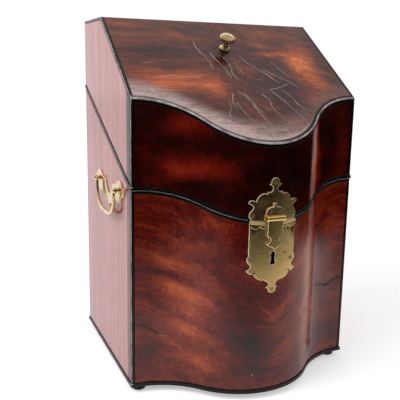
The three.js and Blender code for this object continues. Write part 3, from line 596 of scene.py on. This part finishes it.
NODE_LOOKS = {
    "base_joint_string": ebony,
    "base_corner_string": ebony,
    "lid_joint_string": ebony,
    "lid_slope_string": arris,
    "lid_top_string": ebony,
    "lid_corner_string": ebony,
    "base_front": front_base_wood(),
    "lid_front": front_lid_wood(),
    "base_side": side,
    "lid_side": side,
    "base_back": back,
    "lid_back": back,
    "lid_slope": top,
    "lid_top": top,
    "deck_bearer": oak,
    "deck": deck,
    "partition": oak,
    "base_bottom": oak,
    "base_bead": ebony,
    # Painted shade: the feet are given the black of the strings, as they are seen only in the shade under the
    # box.
    "foot": ebony,
    "lock_case": steel,
    "lock_bolt": steel,
    "lock_drill_pin": steel,
    "left_": handle_brass,
    "right_": handle_brass,
    "": plate_brass,
}


# Carried-over solids


def smoothing_group():
    """Shades a solid smooth but for the edges sharper than 30 degrees."""
    group = bpy.data.node_groups.new("smooth_by_angle", "GeometryNodeTree")
    group.interface.new_socket("Geometry", in_out="INPUT", socket_type="NodeSocketGeometry")
    group.interface.new_socket("Geometry", in_out="OUTPUT", socket_type="NodeSocketGeometry")
    start = group.nodes.new("NodeGroupInput")
    end = group.nodes.new("NodeGroupOutput")
    smooth = group.nodes.new("GeometryNodeSetShadeSmooth")
    sharp = group.nodes.new("GeometryNodeSetShadeSmooth")
    sharp.domain = "EDGE"
    sharp.inputs["Shade Smooth"].default_value = False
    angle = group.nodes.new("GeometryNodeInputMeshEdgeAngle")
    above = group.nodes.new("FunctionNodeCompare")
    above.operation = "GREATER_THAN"
    above.inputs[1].default_value = math.radians(30)
    group.links.new(start.outputs[0], smooth.inputs["Geometry"])
    group.links.new(smooth.outputs["Geometry"], sharp.inputs["Geometry"])
    group.links.new(angle.outputs["Unsigned Angle"], above.inputs[0])
    group.links.new(above.outputs["Result"], sharp.inputs["Selection"])
    group.links.new(sharp.outputs["Geometry"], end.inputs[0])
    return group


SMOOTHING = smoothing_group()


def refine(piece, edge):
    """Merges the triangles of a solid into faces, rounds its edges and shades it smooth.

    The rounding takes the last of the solid's materials.
    """
    for name in ("custom_normal", "sharp_face", "sharp_edge"):
        if name in piece.data.attributes:
            piece.data.attributes.remove(piece.data.attributes[name])
    weld = piece.modifiers.new("weld", "WELD")
    weld.merge_threshold = 2e-6
    flat = piece.modifiers.new("flat", "DECIMATE")
    flat.decimate_type = "DISSOLVE"
    flat.angle_limit = math.radians(0.5)
    bevel = piece.modifiers.new("bevel", "BEVEL")
    bevel.width = edge / 1000
    bevel.segments = 3
    bevel.material = len(piece.data.materials) - 1
    bevel.limit_method = "ANGLE"
    bevel.angle_limit = math.radians(40)
    shading = piece.modifiers.new("shading", "NODES")
    shading.node_group = SMOOTHING
    even = piece.modifiers.new("even", "WEIGHTED_NORMAL")
    even.weight = 90
    even.keep_sharp = True


STRING_EDGE = 0.4
BOARD_EDGE = 0.2


def look_of(name):
    return next(look for start, look in NODE_LOOKS.items() if name.startswith(start))


for name, piece in nodes.items():
    look = look_of(name)
    piece.data.materials.clear()
    piece.data.materials.append(look)
    # The rounded edges of ebonised pieces take the pale arris material: rubbed wear and painted highlights.
    if look is ebony:
        piece.data.materials.append(arris)
    refine(piece, STRING_EDGE if look in (ebony, arris) else BOARD_EDGE)


# Lines and solids of the detail pieces


def arc(u, v, radius, start, end, steps=8):
    angles = (math.radians(start + (end - start) * i / steps) for i in range(steps + 1))
    return [(u + radius * math.cos(a), v + radius * math.sin(a)) for a in angles]


def smooth(points, steps=5):
    """A smooth line through the points. A point with a third value is a corner."""
    runs = [[points[0]]]
    for point in points[1:]:
        runs[-1].append(point)
        if len(point) == 3:
            runs.append([point])
    line = []
    for run in runs:
        if len(run) < 2:
            continue
        flat = [Vector(point[:2]) for point in run]
        ends = [2 * flat[0] - flat[1], *flat, 2 * flat[-1] - flat[-2]]
        for a, b, c, d in zip(ends, ends[1:], ends[2:], ends[3:]):
            for i in range(steps):
                t = i / steps
                bend = (2 * a - 5 * b + 4 * c - d) * t * t + (3 * b - a - 3 * c + d) * t**3
                line.append(tuple((2 * b + (c - a) * t + bend) / 2))
    return [*line, tuple(points[-1][:2])]


def mirrored(half):
    """A closed outline from its right half, which runs from the bottom to the top."""
    return half + [(-u, v) for u, v in reversed(half) if u > 1e-6]


SLICE = 2


class Build:
    """Vertices and faces of one piece, in millimetres."""

    def __init__(self):
        self.points = []
        self.faces = []
        self.edge_faces = []

    def add(self, points, faces):
        first = len(self.points)
        self.points += [Vector(point) for point in points]
        self.faces += [tuple(first + i for i in face) for face in faces]
        return self

    def rings(self, rings):
        """A closed skin over rings of equal length. A ring of one point closes an end."""
        steps = max(len(ring) for ring in rings)
        faces = []
        first = 0
        for ring, after in zip(rings, rings[1:]):
            second = first + len(ring)
            for i in range(steps):
                j = (i + 1) % steps
                if len(ring) == 1:
                    faces.append((first, second + j, second + i))
                elif len(after) == 1:
                    faces.append((first + i, first + j, second))
                else:
                    faces.append((first + i, first + j, second + j, second + i))
            first = second
        return self.add([point for ring in rings for point in ring], faces)

    def turned(self, profile, place, axis, steps=32):
        """A turned piece. The profile gives radius and height along the axis."""
        turn = Vector((0, 0, 1)).rotation_difference(Vector(axis)).to_matrix()
        rings = []
        for radius, rise in profile:
            count = steps if radius > 1e-6 else 1
            angles = (2 * math.pi * i / steps for i in range(count))
            ring = [Vector((radius * math.cos(a), radius * math.sin(a), rise)) for a in angles]
            rings.append([Vector(place) + turn @ point for point in ring])
        return self.rings(rings)

    def tube(self, path, radii, side, steps=20):
        """A rod along a flat path. The side is square to the path's plane."""
        rings = [[path[0]]]
        for i, (point, radius) in enumerate(zip(path, radii)):
            ahead = (path[min(i + 1, len(path) - 1)] - path[max(i - 1, 0)]).normalized()
            across = ahead.cross(side)
            angles = (2 * math.pi * k / steps for k in range(steps))
            rings.append([point + radius * (math.cos(a) * side + math.sin(a) * across) for a in angles])
        return self.rings([*rings, [path[-1]]])

    def plate(self, outline, holes, back, face, edge, place):
        """A sheet with rounded edges, from its back to its face. The place puts its points into space.

        It is cut into slices, so that it can bend.
        """
        curve = bpy.data.curves.new("outline", "CURVE")
        curve.dimensions = "2D"
        curve.fill_mode = "BOTH"
        curve.extrude = (face - back) / 2 - edge
        curve.bevel_depth = edge
        curve.bevel_resolution = 2
        curve.offset = -edge
        for line in (outline, *holes):
            spline = curve.splines.new("POLY")
            spline.points.add(len(line) - 1)
            spline.use_cyclic_u = True
            for point, (u, v) in zip(spline.points, line):
                point.co = (u, v, 0, 1)
        holder = bpy.data.objects.new("outline", curve)
        mesh = bpy.data.meshes.new_from_object(holder)
        work = bmesh.new()
        work.from_mesh(mesh)
        bpy.data.meshes.remove(mesh)
        bpy.data.objects.remove(holder)
        bpy.data.curves.remove(curve)
        bmesh.ops.remove_doubles(work, verts=work.verts, dist=1e-4)
        count = int(max(abs(u) for u, _ in outline) / SLICE)
        for i in range(-count, count + 1):
            parts = [*work.verts, *work.edges, *work.faces]
            bmesh.ops.bisect_plane(work, geom=parts, plane_co=(SLICE * i, 0, 0), plane_no=(1, 0, 0))
        work.verts.index_update()
        middle = (back + face) / 2
        points = [place(vert.co.x, vert.co.y, vert.co.z + middle) for vert in work.verts]
        faces = [tuple(vert.index for vert in face.verts) for face in work.faces]
        upright = [i for i, face in enumerate(work.faces) if abs(face.normal.z) < 0.97]
        self.edge_faces += [len(self.faces) + i for i in upright]
        work.free()
        return self.add(points, faces)

    def made(self, name, body, look, slot, *replaced):
        """Makes the object. It rides on the body and stands for the nodes that it replaces."""
        mesh = bpy.data.meshes.new(name)
        mesh.from_pydata([at(*point) for point in self.points], [], self.faces)
        mesh.materials.append(look)
        # The rounded edges of the plates take the pale brass of painted highlights.
        if self.edge_faces:
            mesh.materials.append(worn_and_highlit_brass)
        for face in self.edge_faces:
            mesh.polygons[face].material_index = 1
        work = bmesh.new()
        work.from_mesh(mesh)
        bmesh.ops.recalc_face_normals(work, faces=work.faces)
        work.to_mesh(mesh)
        work.free()
        piece = bpy.data.objects.new(name, mesh)
        bpy.context.scene.collection.objects.link(piece)
        shading = piece.modifiers.new("shading", "NODES")
        shading.node_group = SMOOTHING
        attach(piece, body)
        if replaced:
            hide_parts(*replaced)
        return piece


def on_front(x, z, out):
    """A point of a sheet that is bent round the bulge."""
    return Vector((x, front_y(x, out), z))


# Lock, hasp and their pins. Each sheet goes from its back to its face, in front of the bulge.

PLATE_BACK, PLATE_MIDDLE, PLATE_FACE = 0.2, 0.8, 1.4
BAND_BACK, BAND_MIDDLE, BAND_FACE = 1.6, 2, 2.3
LEAF_BACK, LEAF_FACE = 1.6, 2.8
HASP_FACE = 4.3


def lock_plate_outline():
    lower = smooth([
        (0, 92.9), (1.8, 93.1), (3.4, 94.4), (3.9, 96.0), (4.0, 97.4), (6.4, 97.8, 1), (4.2, 99.4),
        (3.5, 100.8), (4.0, 102.4), (5.4, 103.5), (7.2, 104.4), (8.5, 105.6, 1), (9.4, 104.9), (11.6, 105.4),
        (13.8, 106.4), (15.8, 107.9), (17.3, 109.8), (18.2, 111.2, 1), (20.6, 111.0), (22.8, 112.4),
        (24.6, 114.4, 1), (22.2, 115.6), (20.8, 117.4), (21.2, 119.4), (23.0, 121.2), (24.1, 123.6),
        (23.7, 126.0), (22.6, 128.0), (22.9, 131.0, 1),
    ])
    top = [(x, joint_z(x, PLATE_MIDDLE) - JOINT_GAP) for x in (22.4, 18, 14, 10, 6, 1.9)]
    return mirrored(lower + top + [(1.9, JOINT_MIDDLE - 18.6), (0, JOINT_MIDDLE - 18.6)])


def lid_plate_outline():
    lower = [(x, joint_z(x, PLATE_MIDDLE) + JOINT_GAP) for x in (0, 6, 12, 18, 21.2)]
    upper = smooth([
        (*lower[-1], 1), (22.8, 162.6), (23.3, 164.9), (22.2, 167.6), (20.4, 169.6), (19.5, 171.8),
        (20.6, 173.5), (23.9, 175.2, 1), (23.2, 177.2), (21.0, 178.2), (19.0, 177.6), (17.3, 176.9, 1),
        (16.7, 178.9), (15.4, 181.0), (13.4, 182.9), (10.9, 184.1), (9.0, 184.1), (7.8, 183.4),
        (7.1, 185.6, 1), (5.4, 185.0), (3.5, 185.6), (2.4, 187.0), (2.3, 188.5), (3.1, 190.0),
        (6.0, 191.8, 1), (4.1, 192.7), (4.0, 194.2), (3.3, 196.0), (1.8, 197.3), (0, 197.7),
    ])
    return mirrored(lower[:-1] + upper)


def keyhole():
    lower = smooth([(0, 119.4), (1.8, 119.6), (2.9, 120.6, 1), (2.0, 123.4), (1.7, 126.4, 1)])
    return mirrored(lower + arc(0, 128.9, 2.5, -42, 90, 8))


def band_outline():
    inner, outer = 8.3, 23.2
    lower = smooth([
        (inner, 153.9), (10.4, 152.9), (12.6, 153.1), (14.0, 154.6, 1), (15.6, 152.9), (18.0, 152.4),
        (20.4, 153.1), (21.6, 154.7, 1), (outer, 154.0),
    ])
    return lower + [(x, joint_z(x, BAND_MIDDLE) - JOINT_GAP) for x in (outer, 19, 15, 11, inner)]


def leaf_outline():
    z = JOINT_MIDDLE
    right = [(8.7, z + 3.4), (8.8, z + 6), (8.4, z + 9.2), (7, z + 11.6), (4.8, z + 13), (2.2, z + 13.3, 1)]
    finial = [(1.3, z + 13.9), (2.0, z + 15), (1.5, z + 16.4), (0, z + 17)]
    return mirrored([(0, z + 3.4)] + smooth(right + finial))


def hasp_outline():
    z = JOINT_MIDDLE
    right = [
        (0, z - 24.6), (1.0, z - 24.2), (2.4, z - 23.2), (4.4, z - 22.2), (6.4, z - 21.3), (7.9, z - 19.4, 1),
        (5.8, z - 18.5), (4.5, z - 16.6), (4.9, z - 14.6), (6.8, z - 13.4), (7.7, z - 11.4, 1), (7.4, z - 8),
        (7.5, z + 3.4),
    ]
    return mirrored(smooth(right) + [(0, z + 3.4)])


def barrel(build, start, end):
    """A hinge knuckle with softened ends."""
    radius, soft = 2.35, 0.3
    profile = [(0, start), (radius - soft, start), (radius, start + soft), (radius, end - soft)]
    return build.turned(profile + [(radius - soft, end), (0, end)], HASP_PIN, (1, 0, 0))


PIN = [(1.25, -0.3), (1.25, 0.05), (1.1, 0.3), (0.7, 0.5), (0, 0.58)]
EYE = [
    (2.1, -0.3), (2.15, 0.1), (1.95, 0.34), (1.6, 0.36), (1.35, 0.12), (1.25, -0.16), (1.05, -0.1),
    (0.6, 0.12), (0, 0.2),
]


def pins(body, name, face, places):
    """Heads of the pins that hold a plate: plain ones, and ones that sit in a ring."""
    build = Build()
    for x, z, profile in places:
        build.turned(profile, on_front(x, z, face), (x, front_y(x, face) - BULGE_RADIUS + BULGE, 0), 20)
    build.made(name, body, old_brass, "brass")


def lock():
    Build().plate(lock_plate_outline(), [keyhole()], PLATE_BACK, PLATE_FACE, 0.45, on_front).made(
        "dressed_lock_plate", "base", plate_brass, "brass", "lock_plate"
    )
    bands = Build()
    for side in (1, -1):
        outline = [(side * x, z) for x, z in band_outline()]
        bands.plate(outline, [], BAND_BACK, BAND_FACE, 0.3, on_front)
        xs = [8.9 + 13.6 * i / 12 for i in range(13)]
        path = [Vector((side * x, front_y(x, 2.1), joint_z(x, 2.1) - 1.35)) for x in xs]
        bands.tube(path, [0.7] * 13, Vector((0, 0, 1)), 12)
    bands.made("dressed_lock_bands", "base", plate_brass, "brass", "lock_band_left", "lock_band_right")
    Build().plate(lid_plate_outline(), [], PLATE_BACK, PLATE_FACE, 0.45, on_front).made(
        "dressed_lid_plate", "lid", plate_brass, "brass", "lid_plate"
    )
    leaf = Build().plate(leaf_outline(), [], LEAF_BACK, LEAF_FACE, 0.4, on_front)
    for start in (-9.4, 4.9):
        barrel(leaf, start, start + 4.5)
    leaf.made("dressed_hasp_leaf", "lid", plate_brass, "brass", "hasp_leaf")
    hasp = Build().plate(hasp_outline(), [], LEAF_FACE, HASP_FACE, 0.5, on_front)
    barrel(hasp, -4.6, 4.6).made("dressed_hasp", "hasp", plate_brass, "brass", "hasp")
    pins("base", "lock_plate_pins", PLATE_FACE, [
        (12.2, 129.4, PIN), (-12.2, 129.4, PIN), (19.5, 123.2, EYE), (-19.5, 123.2, EYE), (0, 95.9, EYE),
        (17.6, 111.9, PIN), (-17.6, 111.9, PIN),
    ])
    pins("lid", "lid_plate_pins", PLATE_FACE, [(20.3, 164.2, EYE), (-20.3, 164.2, EYE), (0, 193.9, EYE)])
    pins("lid", "hasp_leaf_pins", LEAF_FACE, [(4.3, 168.2, PIN), (-4.3, 168.2, PIN), (0, 173.5, PIN)])


# Knob, side handles and feet


def knob():
    radius, proud = 8, 16.8
    half = smooth([
        (0.64, 0.02), (0.68, 0.05), (0.7, 0.1), (0.64, 0.155), (0.5, 0.205), (0.37, 0.27), (0.29, 0.38),
        (0.26, 0.5), (0.3, 0.575), (0.46, 0.612), (0.74, 0.65), (0.92, 0.7), (0.985, 0.75), (0.99, 0.79, 1),
        (0.96, 0.84), (0.84, 0.9), (0.62, 0.95), (0.34, 0.985), (0, 1),
    ], 3)
    profile = [(0, 0.3)] + [(r * radius, z * proud) for r, z in half]
    build = Build().turned(profile, KNOB, (0, -TOP_RISE, 1), 64)
    build.made("dressed_knob", "lid", handle_brass, "brass", "lid_knob")


# Distances on a handle: of the posts and of the bail's arms from its middle, of the bail's axis from the
# side, and of the bail's lowest point from its axis.
POST = 37.5
BAIL_ARM = 32.9
BAIL_AXIS = 5
BAIL_DROP = 27.5


def handle_plate_outline():
    return mirrored(smooth([
        (0, -21), (3.5, -20), (7, -18.4), (12, -17.7, 1), (14.5, -15), (18, -12.6), (23, -11.8, 1),
        (28, -11.9), (34, -12.5), (40, -11.4), (44.5, -7.6), (46.4, -5.6, 1), (49.8, -5), (52.3, -2.8),
        (52.5, 0.8), (50.2, 3.1), (46.4, 3.4, 1), (44.6, 6.4), (41, 8.3), (37, 8.7), (33, 7.9),
        (29.5, 6.2, 1), (26, 4.4), (21, 3), (17, 2.7, 1), (13.2, 0.8), (10.6, -2.6), (8, -6), (4.5, -8.4),
        (0, -10),
    ], 4))


def handle(side):
    way = -1 if side == "left" else 1

    def place(u, v, out):
        return Vector((way * (HANDLE.x + out), HANDLE.y + way * u, HANDLE.z + v))

    Build().plate(handle_plate_outline(), [], 0.3, 1.5, 0.4, place).made(
        side + "_dressed_plate", "base", handle_brass, "brass", side + "_handle_plate"
    )
    posts = Build()
    profile = [(0, 1.45), (3.1, 1.45), (3.3, 1.8), (3.1, 2.2), (2.2, 2.35), (1.8, 2.6), (1.9, 2.9)]
    profile += arc(0, BAIL_AXIS, 2.8, -40, 80, 12)
    for u in (-POST, POST):
        posts.turned(profile + [(0, 7.8)], place(u, 0, 0), (way, 0, 0))
        for end in (-1, 1):
            pin = [(1.6, 2.2), (1.6, 2.7), (1.3, 3.0), (0, 3.1)]
            posts.turned(pin, place(u, 0, BAIL_AXIS), (0, end, 0), 16)
    replaced = [side + "_handle_post_a", side + "_handle_post_b"]
    posts.made(side + "_dressed_posts", "base", handle_brass, "brass", *replaced)
    half = smooth([
        (0, -BAIL_DROP), (7, -27.3), (14, -26.6), (20, -24.9), (25.5, -21.6), (29.3, -17), (31.8, -11.5),
        (BAIL_ARM, -5), (BAIL_ARM, 0),
    ], 5)
    line = mirrored(half)
    start = len(line) - len(half) + 1
    line = line[start:] + line[:start]
    path = [place(u, v, BAIL_AXIS) for u, v in line]
    radii = [1.35 + 0.6 * max(0.0, -v / BAIL_DROP) ** 2.5 for _, v in line]
    bail = Build().tube(path, radii, Vector((1, 0, 0)))
    for end in (-1, 1):
        arm = place(end * BAIL_ARM, 0, BAIL_AXIS)
        bail.turned(arc(0, 0, 1.75, -90, 90, 12), arm, (0, 1, 0), 20)
        out = arm.y - HANDLE.y
        bail.turned([(0, 0), (1.1, 0), (1.1, 6.3), (0, 6.6)], arm, (0, out, 0), 16)
    bail.made(side + "_dressed_bail", side + "_bail", handle_brass, "brass", side + "_bail")


def feet():
    radius, tall = 7, 6
    line = [(0.8, 0, 1), (0.92, 0.1), (0.99, 0.3), (1, 0.5), (0.95, 0.72), (0.82, 0.9), (0.7, 1, 1)]
    profile = [(0, 0), *((r * radius, z * tall) for r, z in smooth(line, 4)), (0, tall)]
    build = Build()
    for x in (-105.5, 105.5):
        for y in (9.5, 165.5):
            build.turned(profile, (x, y, -10), (0, 0, 1), 40)
    replaced = ["foot_front_left", "foot_front_right", "foot_back_left", "foot_back_right"]
    # Painted shade: the feet take the black of the strings, standing for the shade under the box.
    build.made("dressed_feet", "base", ebony, "ebonised", *replaced)


# Pale lines let in round the slots of the deck


def slot_lines():
    """Thin frames on the deck, which lies parallel to the joint."""
    slope = math.atan(JOINT_RISE)
    drop = 14 / math.cos(slope)
    rows = [(155, 26, 5, 7, 28), (110, 24, 5, 7, 28), (65, 22, 5, 6, 31), (24, 21, 13, 4, 28)]
    near, far, proud, sunk = 0.15, 1.1, 0.06, -0.2
    build = Build()
    for back, length, wide, count, pitch in rows:
        for i in range(count):
            middle = (i - (count - 1) / 2) * pitch
            rings = []
            for grow, rise in ((near, sunk), (near, proud), (far, proud), (far, sunk)):
                x0, x1 = middle - wide / 2 - grow, middle + wide / 2 + grow
                y0, y1 = back - length - grow, back + grow
                corners = [(x0, y0), (x1, y0), (x1, y1), (x0, y1)]
                height = JOINT_FRONT - drop + rise
                rings.append([Vector((x, y, height + JOINT_RISE * y)) for x, y in corners])
            points = [point for ring in rings for point in ring]
            faces = [
                (4 * k + j, 4 * k + (j + 1) % 4, (4 * k + 4 + (j + 1) % 4) % 16, (4 * k + 4 + j) % 16)
                for k in range(4)
                for j in range(4)
            ]
            build.add(points, faces)
    build.made("slot_lines", "base", holly, "oak")


lock()
knob()
for way in ("left", "right"):
    handle(way)
feet()
slot_lines()


# Camera, light and floor


def camera():
    place = (-0.2654, -0.5817, 0.2979)
    azimuth, elevation, roll = (math.radians(a) for a in (-23.1, 11.2, 1.1))
    flat = math.cos(elevation)
    behind = Vector((math.sin(azimuth) * flat, -math.cos(azimuth) * flat, math.sin(elevation)))
    level = (-behind).cross(Vector((0, 0, 1))).normalized()
    above = level.cross(-behind)
    right = level * math.cos(roll) + above * math.sin(roll)
    up = above * math.cos(roll) - level * math.sin(roll)
    data = bpy.data.cameras.new("camera")
    focal_length, offset, picture_width = 626.1, -6, 400
    data.sensor_width = 36
    data.lens = data.sensor_width * focal_length / picture_width
    data.shift_x = offset / picture_width
    data.shift_y = offset / picture_width
    made = bpy.data.objects.new("camera", data)
    turned = Matrix((right, up, behind)).transposed().to_4x4()
    made.matrix_world = Matrix.Translation(place) @ turned
    bpy.context.scene.collection.objects.link(made)
    bpy.context.scene.camera = made


def area_light(name, place, aim, size, power):
    data = bpy.data.lights.new(name, "AREA")
    data.shape = "RECTANGLE"
    data.size, data.size_y = size
    data.energy = power
    made = bpy.data.objects.new(name, data)
    made.location = place
    made.rotation_mode = "QUATERNION"
    made.rotation_quaternion = (Vector(aim) - Vector(place)).to_track_quat("-Z", "Y")
    made.visible_glossy = False
    bpy.context.scene.collection.objects.link(made)


class Studio(Nodes):
    """Nodes of the world or of the floor."""

    def __init__(self, tree):
        tree.nodes.clear()
        super().__init__(tree)
        self.path = self.node("ShaderNodeLightPath")

    def mirror_share(self):
        """1 for the rays that see the studio in a shiny surface or through glass."""
        glossy = self.path.outputs["Is Glossy Ray"]
        return self.math("MAXIMUM", glossy, self.path.outputs["Is Transmission Ray"])

    def coordinates(self, kind):
        return self.split(self.node("ShaderNodeTexCoord").outputs[kind])


def backdrop():
    """White behind the box, a pale ceiling and a dark room in front. Matt surfaces get an even light."""
    world = bpy.data.worlds.new("studio")
    world.use_nodes = True
    bpy.context.scene.world = world
    s = Studio(world.node_tree)
    _, y, z = s.coordinates("Generated")
    behind = s.ease(y, 0.33, 0.43)
    ceiling = s.ease(z, 0.3, 0.75, 0.0, 0.55)
    room = s.math("MAXIMUM", s.math("MAXIMUM", behind, ceiling), 0.06)
    strength = s.math("ADD", s.math("MULTIPLY", s.mirror_share(), room), s.path.outputs["Is Camera Ray"])
    matt = s.math("SUBTRACT", 1.0, s.math("ADD", s.mirror_share(), s.path.outputs["Is Camera Ray"]))
    strength = s.math("ADD", strength, s.math("MULTIPLY", matt, 0.6))
    light = s.node("ShaderNodeBackground")
    light.inputs["Color"].default_value = (1, 1, 1, 1)
    s.put(light.inputs["Strength"], strength)
    s.put(s.node("ShaderNodeOutputWorld").inputs[0], light.outputs[0])


def floor():
    mesh = bpy.data.meshes.new("floor")
    reach = 6
    corners = [(-reach, -reach, 0), (reach, -reach, 0), (reach, reach, 0), (-reach, reach, 0)]
    mesh.from_pydata(corners, [], [(0, 1, 2, 3)])
    made = bpy.data.objects.new("floor", mesh)
    bpy.context.scene.collection.objects.link(made)
    material = bpy.data.materials.new("floor")
    material.use_nodes = True
    s = Studio(material.node_tree)
    x, y, _ = s.coordinates("Object")
    out = s.math("ABSOLUTE", x)
    beyond = s.ease(s.math("SUBTRACT", y, s.math("MULTIPLY", out, 0.41)), -0.14, -0.06)
    paper = s.math("MAXIMUM", s.ease(out, 0.66, 0.46), beyond)
    bright = s.math("ADD", s.ease(y, -0.64, -0.36, 0.0, 0.36), s.ease(y, -0.34, -0.2, 0.0, 0.4))
    near = s.math("MULTIPLY", bright, paper)
    matt = s.node("ShaderNodeBsdfDiffuse")
    shade = s.math("MULTIPLY", 0.8, s.math("MAXIMUM", near, s.path.outputs["Is Camera Ray"]))
    tint = s.node("ShaderNodeCombineXYZ")
    for socket in tint.inputs:
        s.put(socket, shade)
    s.put(matt.inputs["Color"], tint.outputs[0])
    lift = s.node("ShaderNodeEmission")
    lift.inputs["Color"].default_value = (1, 1, 1, 1)
    seen = s.math("ADD", s.math("MULTIPLY", s.mirror_share(), near), s.path.outputs["Is Camera Ray"])
    away = s.math("SQRT", s.math("ADD", s.math("MULTIPLY", x, x), s.math("MULTIPLY", y, y)))
    s.put(lift.inputs["Strength"], s.math("MULTIPLY", seen, s.ease(away, 0.3, 1.6, 0.4, 0.6)))
    both = s.node("ShaderNodeAddShader")
    s.put(both.inputs[0], matt.outputs[0])
    s.put(both.inputs[1], lift.outputs[0])
    s.put(s.node("ShaderNodeOutputMaterial").inputs[0], both.outputs[0])
    mesh.materials.append(material)


camera()
backdrop()
floor()
area_light("key", (-1.1, -0.2, 1.1), (0, 0, 0.15), (0.9, 0.9), 14)
area_light("fill", (0.9, -1.1, 0.9), (0, 0, 0.15), (0.9, 0.9), 5)
bpy.context.scene.view_settings.view_transform = "Standard"
